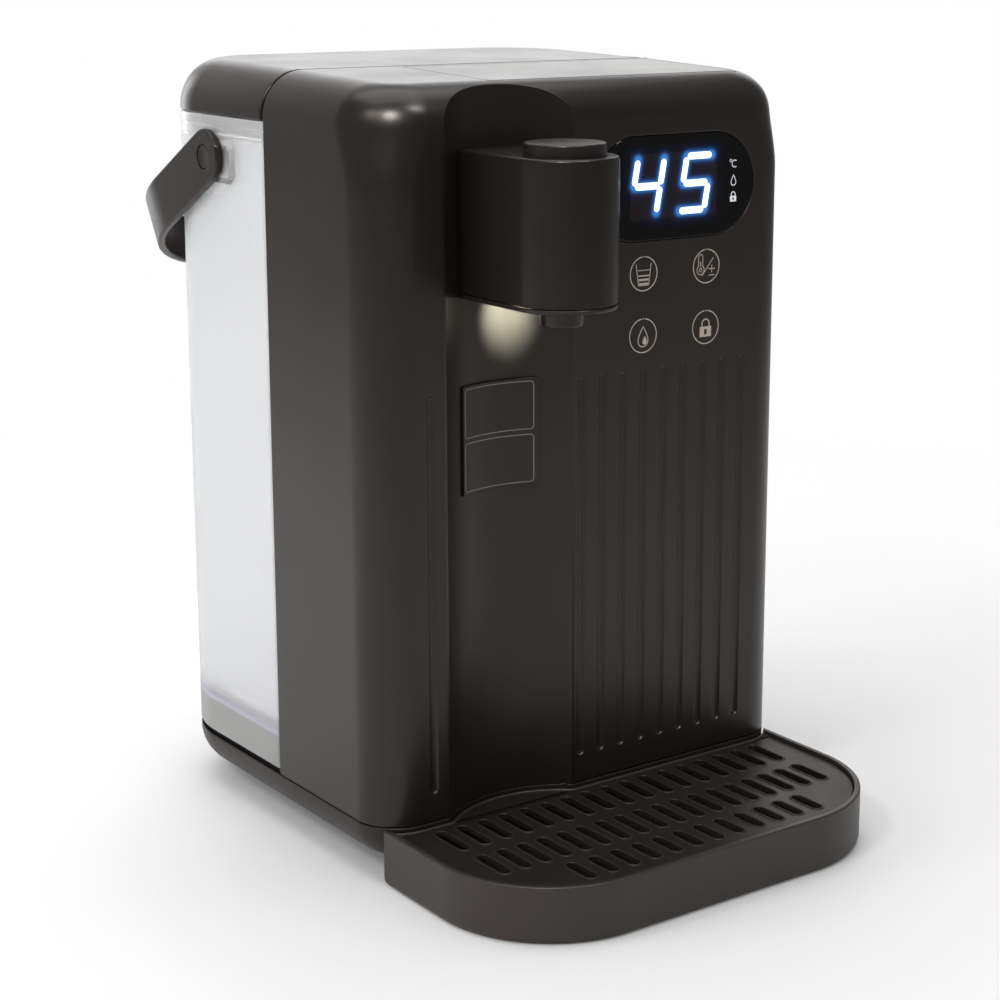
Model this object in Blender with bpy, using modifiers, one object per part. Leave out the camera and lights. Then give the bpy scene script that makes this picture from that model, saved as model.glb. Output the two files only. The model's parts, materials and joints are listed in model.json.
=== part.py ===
"""A countertop instant hot water dispenser: front housing with a spout, lift-off tank, base and drip tray.

X runs to the right, Y into the appliance and Z up. The origin is at the bottom centre of the whole.
"""

import math

import bmesh
import bpy
from mathutils import Matrix, Vector

# Driving dimensions of the whole, in metres
BODY_WIDTH = 0.204
BODY_DEPTH = 0.183
SHELL_DEPTH = 0.0795
SHELL_TOP_Z = 0.310
TRAY_REACH = 0.0847
FRONT_RADIUS = 0.0184
REAR_RADIUS = 0.0455
TOP_EDGE_RADIUS = 0.018
SHELL_TOP_FALL = 0.003
LID_TOP_RISE = 0.0025
CHANNEL_X = -0.041
CHANNEL_RADIUS = 0.045
CHANNEL_DEPTH = 0.0113

# Fits and clearances
SEAT_GAP = 0.0003
SLIDE_GAP = 0.0008
OVERRUN = 0.004
TINY = 1e-6

# Walls
SHELL_WALL = 0.0025
BASE_WALL = 0.0022
TANK_WALL = 0.0026
TRAY_WALL = 0.0024
SPOUT_WALL = 0.002
BOARD_THICKNESS = 0.0016

# Base
BASE_BOTTOM_Z = 0.008
BASE_TOP_Z = 0.0234
BASE_EDGE_RADIUS = 0.014
RIB_THICKNESS = 0.0026
FOOT_RADIUS = 0.009
FOOT_X = 0.070
FRONT_FOOT_FROM_FACE = 0.040
REAR_FOOT_FROM_FACE = 0.145
FOOT_SPIGOT_RADIUS = 0.0036
FOOT_SPIGOT_HEIGHT = 0.0042
RAIL_HEIGHT = 0.0065
RAIL_WIDTH = 0.0024
RAIL_LENGTH = 0.040
GLAND_X = 0.040
GLAND_Z = 0.0146
GLAND_RADIUS = 0.0044
GLAND_BORE_RADIUS = 0.0031
GLAND_FLANGE_RADIUS = 0.0058
GLAND_BOSS_HALF_WIDTH = 0.0078
GLAND_BOSS_LOW_Z = 0.0086
GLAND_BOSS_HIGH_Z = 0.0202
GLAND_BOSS_DEPTH = 0.0110
GLAND_FLANGE_THICKNESS = 0.003
GLAND_INSIDE = 0.007

# Deck under the tank and the socket in it
DECK_THICKNESS = 0.0018
DECK_INSET = 0.0012
DECK_RIM_DEPTH = 0.0030
DECK_RIM_WALL = 0.002
DOCK_FROM_FACE = 0.131
DOCK_FLANGE_RADIUS = 0.022
DOCK_FLANGE_THICKNESS = 0.0018
DOCK_CUP_RADIUS = 0.0136
DOCK_CUP_WALL = 0.0024
DOCK_CUP_TOP_Z = 0.033
DOCK_CHAMBER_RADIUS = 0.009
DOCK_CHAMBER_WALL = 0.002
DOCK_CHAMBER_LOW_Z = 0.0112
DOCK_FLOOR_Z = 0.0238
DOCK_BARB_Z = 0.0165
DOCK_BARB_RADIUS = 0.0034
DOCK_BARB_BORE_RADIUS = 0.0021
DOCK_BARB_REACH = 0.021
DOCK_BAR_WIDTH = 0.0026
DOCK_PIN_RADIUS = 0.0018
DOCK_SEAL_HEIGHT = 0.0026
DECK_SCREW_X = 0.070
DECK_SCREW_FROM_FACE = 0.108
POST_RADIUS = 0.0042

# Tank, lid and their seal
TANK_BOTTOM_GAP = 0.0003
TANK_FLOOR_Z = 0.0402
TANK_FLOOR_THICKNESS = 0.0036
BOSS_RADIUS = 0.0068
BOSS_DEPTH = 0.011
LID_GAP = 0.0004
LID_HEIGHT = 0.0190
LID_WALL = 0.0065
SKIRT_INSET = 0.0036
SKIRT_DEPTH = 0.0075
LID_SEAL_INSET = 0.0029
LID_SEAL_HEIGHT = 0.0024
LID_SEAL_RISE = 0.0022
LID_SEAL_GROOVE = 0.0012

# Tank valve
VALVE_FLANGE_RADIUS = 0.016
VALVE_FLANGE_THICKNESS = 0.002
VALVE_TUBE_RADIUS = 0.0117
VALVE_TUBE_LOW_Z = 0.0300
VALVE_BORE_RADIUS = 0.0062
VALVE_BAR_Z = 0.0406
VALVE_BAR_HEIGHT = 0.0024
VALVE_BAR_WIDTH = 0.003
STEM_RADIUS = 0.0016
STEM_SHOULDER_RADIUS = 0.0044
STEM_SHOULDER_THICKNESS = 0.0014
PLUNGER_HEAD_RADIUS = 0.0086
PLUNGER_HEAD_THICKNESS = 0.002
VALVE_SEAL_RADIUS = 0.0082
VALVE_SEAL_BORE_RADIUS = 0.0066
VALVE_SEAL_THICKNESS = 0.001
PLUNGER_TAPER_SHARE = 0.8
VALVE_SPRING_RADIUS = 0.0034
VALVE_SPRING_WIRE = 0.00028
VALVE_SPRING_TURNS = 4

# Carrying bail and its pins
BAIL_PIVOT_FROM_FACE = 0.1218
PIVOT_BELOW_RIM = 0.0164
BAIL_ANGLE = math.radians(29.2)
BAIL_REAR_ROOM = 0.02619
BAIL_WIDTH = 0.0224
BAIL_THICKNESS = 0.0032
BAIL_SIDE_GAP = 0.0012
BAIL_CORNER_RADIUS = 0.052
PIN_RADIUS = 0.0030
PIN_HEAD_RADIUS = 0.0048
PIN_HEAD_THICKNESS = 0.0012
PIN_PLAY = 0.0003

# Drip tray and grille
TRAY_HALF_WIDTH = 0.098
TRAY_HEIGHT = 0.0229
TRAY_REAR_FROM_FACE = 0.010
TRAY_CORNER_RADIUS = 0.050
TRAY_EDGE_RADIUS = 0.003
TRAY_FLOOR = 0.0022
LEDGE_WIDTH = 0.0026
GRILLE_TOP_Z = 0.0214
GRILLE_THICKNESS = 0.002
GRILLE_GAP = 0.0005
SLOT_WIDTH = 0.0041
TONGUE_HALF_WIDTH = 0.030
TONGUE_LOW_Z = 0.0012
TONGUE_THICKNESS = 0.005
TONGUE_LENGTH = 0.030
# Each row of slots: its middle in front of the face, its slots' length, their number and their pitch
SLOT_ROWS = (
    (0.0155, 0.0204, 17, 0.0100),
    (0.0430, 0.0198, 18, 0.0094),
    (0.0668, 0.0157, 12, 0.0103),
)

# Front face: flutes, window, plate and top panel
FLUTE_WIDTH = 0.0033
FLUTE_DEPTH = 0.001
FLUTE_LOW_Z = 0.0352
FLUTES_BELOW_TOP = 0.1174
FLUTE_PITCH = 0.0103
FIRST_FLUTE_X = -0.0070
RIGHT_FLUTES = 9
LEFT_FLUTE_X = -0.0778
WINDOW_X = 0.039
WINDOW_BELOW_TOP = 0.046
WINDOW_LENGTH = 0.082
WINDOW_HEIGHT = 0.0414
WINDOW_THICKNESS = 0.0014
WINDOW_LEDGE = 0.002
WINDOW_GAP = 0.0002
PLATE_HALF_WIDTH = 0.0178
PLATE_BELOW_SPOUT = 0.0345
PLATE_HEIGHT = 0.043
PLATE_THICKNESS = 0.0008
PANEL_LEFT_X = -0.040
PANEL_RIGHT_X = 0.083
PANEL_FRONT = 0.0155
PANEL_REAR_MARGIN = 0.004
PANEL_THICKNESS = 0.0015
PANEL_GAP = 0.0003

# Spout, its button, nozzle and lamp
SPOUT_HALF_WIDTH = 0.020
SPOUT_NOSE_FROM_FACE = 0.034
SPOUT_BELOW_TOP = 0.0268
SPOUT_HEIGHT = 0.0557
SPOUT_EDGE_RADIUS = 0.0008
SPOUT_COVER_THICKNESS = 0.0018
BUTTON_RADIUS = 0.0152
BUTTON_RISE = 0.0048
BUTTON_HEIGHT = 0.0090
BUTTON_FLANGE_RADIUS = 0.0168
BUTTON_FLANGE_THICKNESS = 0.0012
BUTTON_TRAVEL = 0.0015
BUTTON_STEM_RADIUS = 0.0022
BUTTON_STEM_LENGTH = 0.0028
BRACKET_BELOW_BUTTON = 0.0088
BRACKET_THICKNESS = 0.0018
BUTTON_SPRING_RADIUS = 0.0100
BUTTON_SPRING_WIRE = 0.0005
BUTTON_SPRING_TURNS = 4
SWITCH_LENGTH = 0.0085
SWITCH_WIDTH = 0.0070
SWITCH_CAP_RADIUS = 0.0020
SWITCH_CAP_HEIGHT = 0.0012
NOZZLE_FROM_FACE = 0.0325
NOZZLE_RADIUS = 0.0086
NOZZLE_BORE_RADIUS = 0.0050
NOZZLE_DROP = 0.0070
NOZZLE_FLANGE_RADIUS = 0.0108
NOZZLE_FLANGE_THICKNESS = 0.0016
NOZZLE_BARB_RADIUS = 0.0044
NOZZLE_BARB_BORE_RADIUS = 0.0024
NOZZLE_BARB_RISE = 0.0105
SPOUT_HOSE_SHARE = 0.72
LAMP_FROM_FACE = 0.0120
LAMP_RADIUS = 0.0048
LAMP_FLANGE_RADIUS = 0.0060
LAMP_FLANGE_THICKNESS = 0.001
LAMP_BOARD_LENGTH = 0.016
LAMP_BOARD_WIDTH = 0.011
LAMP_CHIP_SIDE = 0.003
LAMP_CHIP_HEIGHT = 0.001

# Bulkhead, its screws and bosses
BULKHEAD_THICKNESS = 0.0026
SCREW_HEAD_RADIUS = 0.0032
SCREW_HEAD_THICKNESS = 0.0016
SCREW_SHANK_RADIUS = 0.0015
SCREW_LENGTH = 0.011
SHELL_BOSS_REACH = 0.0115
SHELL_BOSS_HEIGHT = 0.009
SHELL_BOSS_LENGTH = 0.014
LOW_BOSS_Z = 0.060
HIGH_BOSS_BELOW_TOP = 0.060

# Hydraulics
HOSE_RADIUS = 0.0038
HOSE_STEPS = 5
HOSE_BEND_SHARE = 0.4
PUMP_X = 0.045
PUMP_TO_BULKHEAD = 0.0306
PUMP_LOW_Z = 0.0112
MOTOR_RADIUS = 0.014
MOTOR_HEIGHT = 0.0245
VOLUTE_RADIUS = 0.019
VOLUTE_FLOOR = 0.003
CHAMBER_RADIUS = 0.0155
CHAMBER_HEIGHT = 0.0085
PUMP_COVER_THICKNESS = 0.0024
PUMP_BARB_RADIUS = 0.0042
PUMP_BARB_BORE_RADIUS = 0.0026
PUMP_BARB_LENGTH = 0.010
IMPELLER_RADIUS = 0.0135
IMPELLER_DISC = 0.0016
IMPELLER_HUB_RADIUS = 0.0038
IMPELLER_VANE_HEIGHT = 0.0046
IMPELLER_VANE_THICKNESS = 0.0012
IMPELLER_VANES = 6
VANE_START_SHARE = 0.7
SHAFT_RADIUS = 0.0014
SHAFT_LENGTH = 0.008
SHAFT_PLAY = 0.0003
HEATER_X = -0.035
HEATER_TO_BULKHEAD = 0.0266
HEATER_RADIUS = 0.0165
HEATER_LOW_Z = 0.086
HEATER_BELOW_SPOUT = 0.0265
HEATER_CAP_RADIUS = 0.0185
HEATER_CAP_HEIGHT = 0.006
HEATER_BARB_RADIUS = 0.0042
HEATER_BARB_LENGTH = 0.010
HEATER_BORE_RADIUS = 0.0024
HEATER_WALL = 0.0018
STRAP_THICKNESS = 0.0022
STRAP_HEIGHT = 0.012
STRAP_FOOT_HALF_WIDTH = 0.024
STRAP_FOOT_THICKNESS = 0.002
THERMOSTAT_RADIUS = 0.0065
THERMOSTAT_DEPTH = 0.007

# Boards
POWER_BOARD_X = 0.058
POWER_BOARD_Z = 0.140
POWER_BOARD_WIDTH = 0.056
POWER_BOARD_HEIGHT = 0.100
STANDOFF_RADIUS = 0.003
STANDOFF_LENGTH = 0.006
TOUCH_BOARD_X = 0.040
TOUCH_BOARD_BELOW_TOP = 0.094
TOUCH_BOARD_WIDTH = 0.048
TOUCH_BOARD_HEIGHT = 0.044
SENSOR_RADIUS = 0.006
SENSOR_THICKNESS = 0.0008
SENSOR_SPREAD_X = 0.01635
SENSOR_SPREAD_Z = 0.0127
DISPLAY_MARGIN = 0.0004
DISPLAY_DEPTH = 0.0042
POWER_PART_DEPTH = 0.018
# Parts on the power board: middle, width, height and depth as shares of the board and of the deepest part
POWER_PARTS_SHARES = (
    (-0.18, 0.24, 0.46, 0.26, 1.0),
    (0.30, 0.28, 0.20, 0.22, 0.7),
    (-0.24, -0.16, 0.34, 0.20, 0.8),
    (0.22, -0.14, 0.36, 0.30, 0.5),
    (0.0, -0.40, 0.60, 0.08, 0.6),
)

# Roundness of the meshes
BIG_STEPS = 8
EDGE_STEPS = 6
SMALL_STEPS = 2
ROUND_STEPS = 16
MIDDLE_STEPS = 20
FINE_STEPS = 32
SLOT_STEPS = 8
CHANNEL_STEPS = 64
SHARP_ANGLE = math.radians(35)

# Places worked out from the sizes above
HALF_WIDTH = BODY_WIDTH / 2
BAIL_LENGTH = (BODY_DEPTH - BAIL_PIVOT_FROM_FACE) / math.cos(BAIL_ANGLE) + BAIL_REAR_ROOM
BAIL_REAR_REACH = BAIL_LENGTH * math.cos(BAIL_ANGLE) + BAIL_WIDTH / 2 * math.sin(BAIL_ANGLE)
FACE_Y = (TRAY_REACH - BAIL_PIVOT_FROM_FACE - BAIL_REAR_REACH) / 2
SEAM_Y = FACE_Y + SHELL_DEPTH
REAR_Y = FACE_Y + BODY_DEPTH
TANK_FRONT_Y = SEAM_Y + SLIDE_GAP
SHELL_LOW_Z = BASE_TOP_Z + SEAT_GAP
CHANNEL_AXIS_Y = FACE_Y + CHANNEL_DEPTH - CHANNEL_RADIUS
BASE_FLOOR_Z = BASE_BOTTOM_Z + BASE_WALL
DECK_LOW_Z = BASE_TOP_Z + SEAT_GAP
DECK_TOP_Z = DECK_LOW_Z + DECK_THICKNESS
TANK_LOW_Z = DECK_TOP_Z + TANK_BOTTOM_GAP
DOCK_Y = FACE_Y + DOCK_FROM_FACE
LID_LOW_Z = SHELL_TOP_Z - LID_HEIGHT
TANK_TOP_Z = LID_LOW_Z - LID_GAP
BAIL_PIVOT_Z = TANK_TOP_Z - PIVOT_BELOW_RIM
PIVOT_Y = FACE_Y + BAIL_PIVOT_FROM_FACE
BAIL_HALF = HALF_WIDTH + BAIL_SIDE_GAP + BAIL_THICKNESS
BULKHEAD_REAR_Y = SEAM_Y - SEAT_GAP
BULKHEAD_FRONT_Y = BULKHEAD_REAR_Y - BULKHEAD_THICKNESS
SPOUT_NOSE_Y = FACE_Y - SPOUT_NOSE_FROM_FACE
SPOUT_TOP_Z = SHELL_TOP_Z - SPOUT_BELOW_TOP
SPOUT_LOW_Z = SPOUT_TOP_Z - SPOUT_HEIGHT
BUTTON_TOP_Z = SPOUT_TOP_Z + BUTTON_RISE
BUTTON_LOW_Z = BUTTON_TOP_Z - BUTTON_HEIGHT
BUTTON_STEM_LOW_Z = BUTTON_LOW_Z - BUTTON_STEM_LENGTH
BRACKET_TOP_Z = BUTTON_LOW_Z - BRACKET_BELOW_BUTTON
NOZZLE_LOW_Z = SPOUT_LOW_Z - NOZZLE_DROP
NOZZLE_BARB_TOP_Z = SPOUT_LOW_Z + NOZZLE_BARB_RISE
SPOUT_HOSE_Z = SPOUT_LOW_Z + (BRACKET_TOP_Z - BRACKET_THICKNESS - SPOUT_LOW_Z) * SPOUT_HOSE_SHARE
PLATE_LOW_Z = SPOUT_LOW_Z - PLATE_BELOW_SPOUT - PLATE_HEIGHT
WINDOW_Z = SHELL_TOP_Z - WINDOW_BELOW_TOP
TOUCH_BOARD_Z = SHELL_TOP_Z - TOUCH_BOARD_BELOW_TOP
FLUTE_HIGH_Z = SHELL_TOP_Z - FLUTES_BELOW_TOP
HIGH_BOSS_Z = SHELL_TOP_Z - HIGH_BOSS_BELOW_TOP
PUMP_Y = BULKHEAD_FRONT_Y - PUMP_TO_BULKHEAD
HEATER_Y = BULKHEAD_FRONT_Y - HEATER_TO_BULKHEAD
MOTOR_TOP_Z = PUMP_LOW_Z + MOTOR_HEIGHT
CHAMBER_FLOOR_Z = MOTOR_TOP_Z + VOLUTE_FLOOR
VOLUTE_TOP_Z = CHAMBER_FLOOR_Z + CHAMBER_HEIGHT
HEATER_TOP_Z = SPOUT_LOW_Z - HEATER_BELOW_SPOUT
GRILLE_REAR_Y = FACE_Y - SLIDE_GAP - SEAT_GAP


# Scene, collections and materials

def clear_scene():
    for obj in list(bpy.data.objects):
        bpy.data.objects.remove(obj, do_unlink=True)


def collection(name):
    made = bpy.data.collections.new(name)
    bpy.context.scene.collection.children.link(made)
    return made


def material(name, colour, roughness, metallic=0.0, alpha=1.0):
    made = bpy.data.materials.new(name)
    made.use_nodes = True
    shader = made.node_tree.nodes["Principled BSDF"]
    shader.inputs["Base Color"].default_value = (*colour, 1.0)
    shader.inputs["Roughness"].default_value = roughness
    shader.inputs["Metallic"].default_value = metallic
    shader.inputs["Alpha"].default_value = alpha
    return made


def add(name, form, finish, place=(0, 0, 0)):
    """A part from a bmesh, in the parts' collection, shaded smooth up to the sharp angle."""
    mesh = bpy.data.meshes.new(name)
    form.to_mesh(mesh)
    form.free()
    mesh.shade_smooth()
    mesh.set_sharp_from_angle(angle=SHARP_ANGLE)
    obj = bpy.data.objects.new(name, mesh)
    obj.location = place
    mesh.materials.append(finish)
    PARTS.objects.link(obj)
    return obj


def helper(name, form, place=(0, 0, 0)):
    """A cutter or a piece to be joined, which isn't rendered."""
    mesh = bpy.data.meshes.new(name)
    form.to_mesh(mesh)
    form.free()
    obj = bpy.data.objects.new(name, mesh)
    obj.location = place
    obj.hide_render = True
    obj.display_type = "WIRE"
    CUTTERS.objects.link(obj)
    return obj


def boolean(target, other, operation):
    step = target.modifiers.new(operation.lower() + "_" + other.name, "BOOLEAN")
    step.operation = operation
    step.solver = "EXACT"
    step.object = other


def cut(target, *others):
    for other in others:
        boolean(target, other, "DIFFERENCE")


def join(target, *others):
    for other in others:
        boolean(target, other, "UNION")


def keep_inside(target, other):
    boolean(target, other, "INTERSECT")


# Forms

def block(low, high):
    """A box between two corners."""
    form = bmesh.new()
    bmesh.ops.create_cube(form, size=1)
    for vert in form.verts:
        vert.co = Vector(low[i] if vert.co[i] < 0 else high[i] for i in range(3))
    return form


def centred(centre, size):
    """A box from its centre and its full sizes."""
    return block(
        tuple(centre[i] - size[i] / 2 for i in range(3)),
        tuple(centre[i] + size[i] / 2 for i in range(3)),
    )


def round_edges(form, chosen, radius, steps):
    edges = [edge for edge in form.edges if chosen(edge.verts[0].co, edge.verts[1].co)]
    bmesh.ops.bevel(
        form, geom=edges, offset=radius, offset_type="OFFSET", segments=steps,
        profile=0.5, affect="EDGES", clamp_overlap=True,
    )


def upright_at(y):
    return lambda a, b: abs(a.z - b.z) > TINY and abs(a.y - y) < TINY and abs(b.y - y) < TINY


def rim_at(z, open_y=None):
    """The edges at a height, leaving out those that lie along the open side."""
    def chosen(a, b):
        along_open = open_y is not None and abs(a.y - open_y) < TINY and abs(b.y - open_y) < TINY
        return abs(a.z - z) < TINY and abs(b.z - z) < TINY and not along_open
    return chosen


def plan_form(half_width, ys, zs, front_radius=0, rear_radius=0):
    """An upright block with rounded corners in plan."""
    form = block((-half_width, ys[0], zs[0]), (half_width, ys[1], zs[1]))
    if front_radius:
        round_edges(form, upright_at(ys[0]), front_radius, BIG_STEPS)
    if rear_radius:
        round_edges(form, upright_at(ys[1]), rear_radius, BIG_STEPS)
    return form


def tilt_top(form, low_z, high_z, shift_at):
    """Moves what lies above low_z by a height that depends on Y, in full at high_z."""
    for vert in form.verts:
        share = max(0, (vert.co.z - low_z) / (high_z - low_z))
        vert.co.z += share * shift_at(vert.co.y)
    bmesh.ops.triangulate(form, faces=form.faces)


def cylinder(radius, low_z, high_z, steps=ROUND_STEPS, top_radius=None):
    form = bmesh.new()
    top = radius if top_radius is None else top_radius
    bmesh.ops.create_cone(
        form, cap_ends=True, segments=steps, radius1=radius, radius2=top, depth=high_z - low_z,
    )
    bmesh.ops.translate(form, verts=form.verts, vec=(0, 0, (low_z + high_z) / 2))
    return form


def moved(form, place):
    bmesh.ops.translate(form, verts=form.verts, vec=place)
    return form


def turned_to(form, axis):
    """Turns a form that points along Z to point along another axis."""
    turn = Vector((0, 0, 1)).rotation_difference(Vector(axis)).to_matrix()
    bmesh.ops.rotate(form, cent=(0, 0, 0), matrix=turn, verts=form.verts)
    return form


def merged(forms):
    """Several separate bodies in one form."""
    whole = bmesh.new()
    for form in forms:
        mesh = bpy.data.meshes.new("body")
        form.to_mesh(mesh)
        form.free()
        whole.from_mesh(mesh)
        bpy.data.meshes.remove(mesh)
    return whole


def stadium(length, width, low_z, high_z, steps=SLOT_STEPS):
    """An upright prism with round ends, long in Y."""
    form = bmesh.new()
    radius = width / 2 / math.cos(math.pi / steps)
    bmesh.ops.create_cone(
        form, cap_ends=True, segments=steps, radius1=radius, radius2=radius, depth=high_z - low_z,
    )
    half_turn = Matrix.Rotation(math.pi / steps, 3, "Z")
    bmesh.ops.rotate(form, cent=(0, 0, 0), matrix=half_turn, verts=form.verts)
    for vert in form.verts:
        vert.co.y += math.copysign((length - width) / 2, vert.co.y)
        vert.co.z += (low_z + high_z) / 2
    return form


def turned(name, profile, finish, place, steps=ROUND_STEPS, closed=False, axis=(0, 0, 1), keep=True):
    """A turned piece. The profile of (radius, height) pairs runs down its outer side."""
    mesh = bpy.data.meshes.new(name)
    count = len(profile)
    edges = [(i, i + 1) for i in range(count - 1)]
    if closed:
        edges.append((count - 1, 0))
    mesh.from_pydata([(radius, 0, height) for radius, height in profile], edges, [])
    obj = bpy.data.objects.new(name, mesh)
    obj.location = place
    obj.rotation_mode = "QUATERNION"
    obj.rotation_quaternion = Vector((0, 0, 1)).rotation_difference(Vector(axis))
    spin = obj.modifiers.new("turn", "SCREW")
    spin.axis = "Z"
    spin.steps = steps
    spin.render_steps = steps
    spin.use_merge_vertices = True
    spin.merge_threshold = TINY
    spin.use_smooth_shade = True
    if keep:
        mesh.materials.append(finish)
        PARTS.objects.link(obj)
    else:
        obj.hide_render = True
        obj.display_type = "WIRE"
        CUTTERS.objects.link(obj)
    return obj


def smooth_route(points, steps):
    """Points along a smooth curve through the route's own points."""
    ends = [points[0]] + list(points) + [points[-1]]
    route = []
    for i in range(1, len(ends) - 2):
        before, start, end, after = (Vector(ends[i + k]) for k in (-1, 0, 1, 2))
        for step in range(steps):
            t = step / steps
            straight = (end - before) * t
            bend = (2 * before - 5 * start + 4 * end - after) * t * t
            twist = (3 * start - before - 3 * end + after) * t * t * t
            route.append(start + (straight + bend + twist) / 2)
    route.append(Vector(points[-1]))
    return route


def rod(name, points, radius, finish, sides_step=2):
    """A round rod or hose along a list of points, with filled ends."""
    curve = bpy.data.curves.new(name, "CURVE")
    curve.dimensions = "3D"
    curve.bevel_depth = radius
    curve.bevel_resolution = sides_step
    curve.use_fill_caps = True
    spline = curve.splines.new("POLY")
    spline.points.add(len(points) - 1)
    for target, point in zip(spline.points, points):
        target.co = (*point, 1)
    curve.materials.append(finish)
    obj = bpy.data.objects.new(name, curve)
    PARTS.objects.link(obj)
    return obj


def coil(name, centre, radius, wire, turns, low_z, high_z, finish):
    """A wound spring that stands between two heights."""
    steps = 10
    count = turns * steps
    points = []
    for i in range(count + 1):
        angle = 2 * math.pi * i / steps
        height = low_z + wire + (high_z - low_z - 2 * wire) * i / count
        points.append((centre[0] + radius * math.cos(angle), centre[1] + radius * math.sin(angle), height))
    return rod(name, points, wire, finish, sides_step=1)


# Front housing

def shell_form(inset, low_z, rear_y):
    """The front housing's outer form, or its hollow where inset is the wall."""
    front_y = FACE_Y + inset
    high_z = SHELL_TOP_Z - inset
    half = HALF_WIDTH - inset
    form = plan_form(half, (front_y, rear_y), (low_z, high_z), front_radius=FRONT_RADIUS - inset)
    round_edges(form, rim_at(high_z, open_y=rear_y), TOP_EDGE_RADIUS - inset, EDGE_STEPS)
    tilt_top(
        form, SHELL_TOP_Z - TOP_EDGE_RADIUS, high_z,
        lambda y: (y - SEAM_Y) / SHELL_DEPTH * SHELL_TOP_FALL,
    )
    return form


def channel_form(grow, low_z, high_z):
    form = cylinder(CHANNEL_RADIUS + grow, low_z, high_z, CHANNEL_STEPS)
    return moved(form, (CHANNEL_X, CHANNEL_AXIS_Y, 0))


def on_face(form, x, z, depth):
    """Lays an upright prism on the front face, with its low end at the depth behind it."""
    turn = Matrix.Rotation(math.pi / 2, 3, "X")
    bmesh.ops.rotate(form, cent=(0, 0, 0), matrix=turn, verts=form.verts)
    return moved(form, (x, FACE_Y + depth, z))


def window_form(length, height, low, high):
    """A prism of the window's outline, from low to high behind the face."""
    form = stadium(length, height, -high, -low, FINE_STEPS)
    bmesh.ops.rotate(form, cent=(0, 0, 0), matrix=Matrix.Rotation(math.pi / 2, 3, "Z"), verts=form.verts)
    return on_face(form, WINDOW_X, WINDOW_Z, 0)


def flute_form(x):
    length = FLUTE_HIGH_Z - FLUTE_LOW_Z
    form = stadium(length, FLUTE_WIDTH, -FLUTE_DEPTH, OVERRUN)
    return on_face(form, x, (FLUTE_HIGH_Z + FLUTE_LOW_Z) / 2, 0)


def shell_bosses():
    """The four lugs on the inside of the side walls that take the bulkhead's screws."""
    forms = []
    for side in (-1, 1):
        for z in (LOW_BOSS_Z, HIGH_BOSS_Z):
            inner = HALF_WIDTH - SHELL_WALL - SHELL_BOSS_REACH
            outer = HALF_WIDTH - SHELL_WALL / 2
            size = (outer - inner, SHELL_BOSS_LENGTH, SHELL_BOSS_HEIGHT)
            middle_y = BULKHEAD_FRONT_Y - SEAT_GAP - SHELL_BOSS_LENGTH / 2
            forms.append(centred((side * (inner + outer) / 2, middle_y, z), size))
    return merged(forms)


def boss_places():
    x = HALF_WIDTH - SHELL_WALL - SHELL_BOSS_REACH / 2
    return [(side * x, z) for side in (-1, 1) for z in (LOW_BOSS_Z, HIGH_BOSS_Z)]


def front_housing():
    shell = add("front_shell", shell_form(0, SHELL_LOW_Z, SEAM_Y), DARK_PLASTIC)
    high = SHELL_TOP_Z + OVERRUN
    hollow = helper("shell_hollow", shell_form(SHELL_WALL, SHELL_LOW_Z - OVERRUN, SEAM_Y + OVERRUN))
    cut(hollow, helper("channel_wall", channel_form(SHELL_WALL, 0, high)))
    cut(shell, helper("channel", channel_form(0, 0, high)), hollow)
    join(shell, helper("shell_bosses", shell_bosses()))
    flutes = [FIRST_FLUTE_X + i * FLUTE_PITCH for i in range(RIGHT_FLUTES)] + [LEFT_FLUTE_X]
    cut(shell, helper("flutes", merged([flute_form(x) for x in flutes])))
    recess = WINDOW_THICKNESS + SEAT_GAP
    grown = (WINDOW_LENGTH + 2 * WINDOW_GAP, WINDOW_HEIGHT + 2 * WINDOW_GAP)
    inner = (WINDOW_LENGTH - 2 * WINDOW_LEDGE, WINDOW_HEIGHT - 2 * WINDOW_LEDGE)
    cut(shell, helper("window_recess", window_form(*grown, -OVERRUN, recess)))
    cut(shell, helper("window_hole", window_form(*inner, 0, SHELL_WALL + OVERRUN)))
    hose_hole = turned_to(cylinder(HOSE_RADIUS + SLIDE_GAP, -OVERRUN, 2 * OVERRUN), (0, 1, 0))
    hole_y = FACE_Y + CHANNEL_DEPTH
    cut(shell, helper("hose_hole", moved(hose_hole, (CHANNEL_X, hole_y, SPOUT_HOSE_Z))))
    bores = []
    for x, z in boss_places():
        bore = turned_to(cylinder(SCREW_SHANK_RADIUS + SEAT_GAP, 0, SCREW_LENGTH + SEAT_GAP), (0, -1, 0))
        bores.append(moved(bore, (x, BULKHEAD_FRONT_Y, z)))
    cut(shell, helper("boss_bores", merged(bores)))
    cut(shell, helper("panel_recess", panel_form(PANEL_GAP)))

    panel = add("top_panel", shell_form(0, SHELL_TOP_Z - TOP_EDGE_RADIUS, SEAM_Y), DARK_PLASTIC)
    keep_inside(panel, helper("panel_outline", panel_form(0)))
    add("display_window", window_form(WINDOW_LENGTH, WINDOW_HEIGHT, 0, WINDOW_THICKNESS), BLACK_GLASS)


def panel_form(grow):
    """The block that holds the top panel, its underside parallel to the sloping top."""
    low_z = SHELL_TOP_Z - PANEL_THICKNESS - grow
    front_y = FACE_Y + PANEL_FRONT
    rear_y = SEAM_Y - PANEL_REAR_MARGIN
    form = block(
        (PANEL_LEFT_X - grow, front_y - grow, low_z),
        (PANEL_RIGHT_X + grow, rear_y + grow, SHELL_TOP_Z + OVERRUN),
    )
    for vert in form.verts:
        vert.co.z += (vert.co.y - SEAM_Y) / SHELL_DEPTH * SHELL_TOP_FALL
    return form


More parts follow.
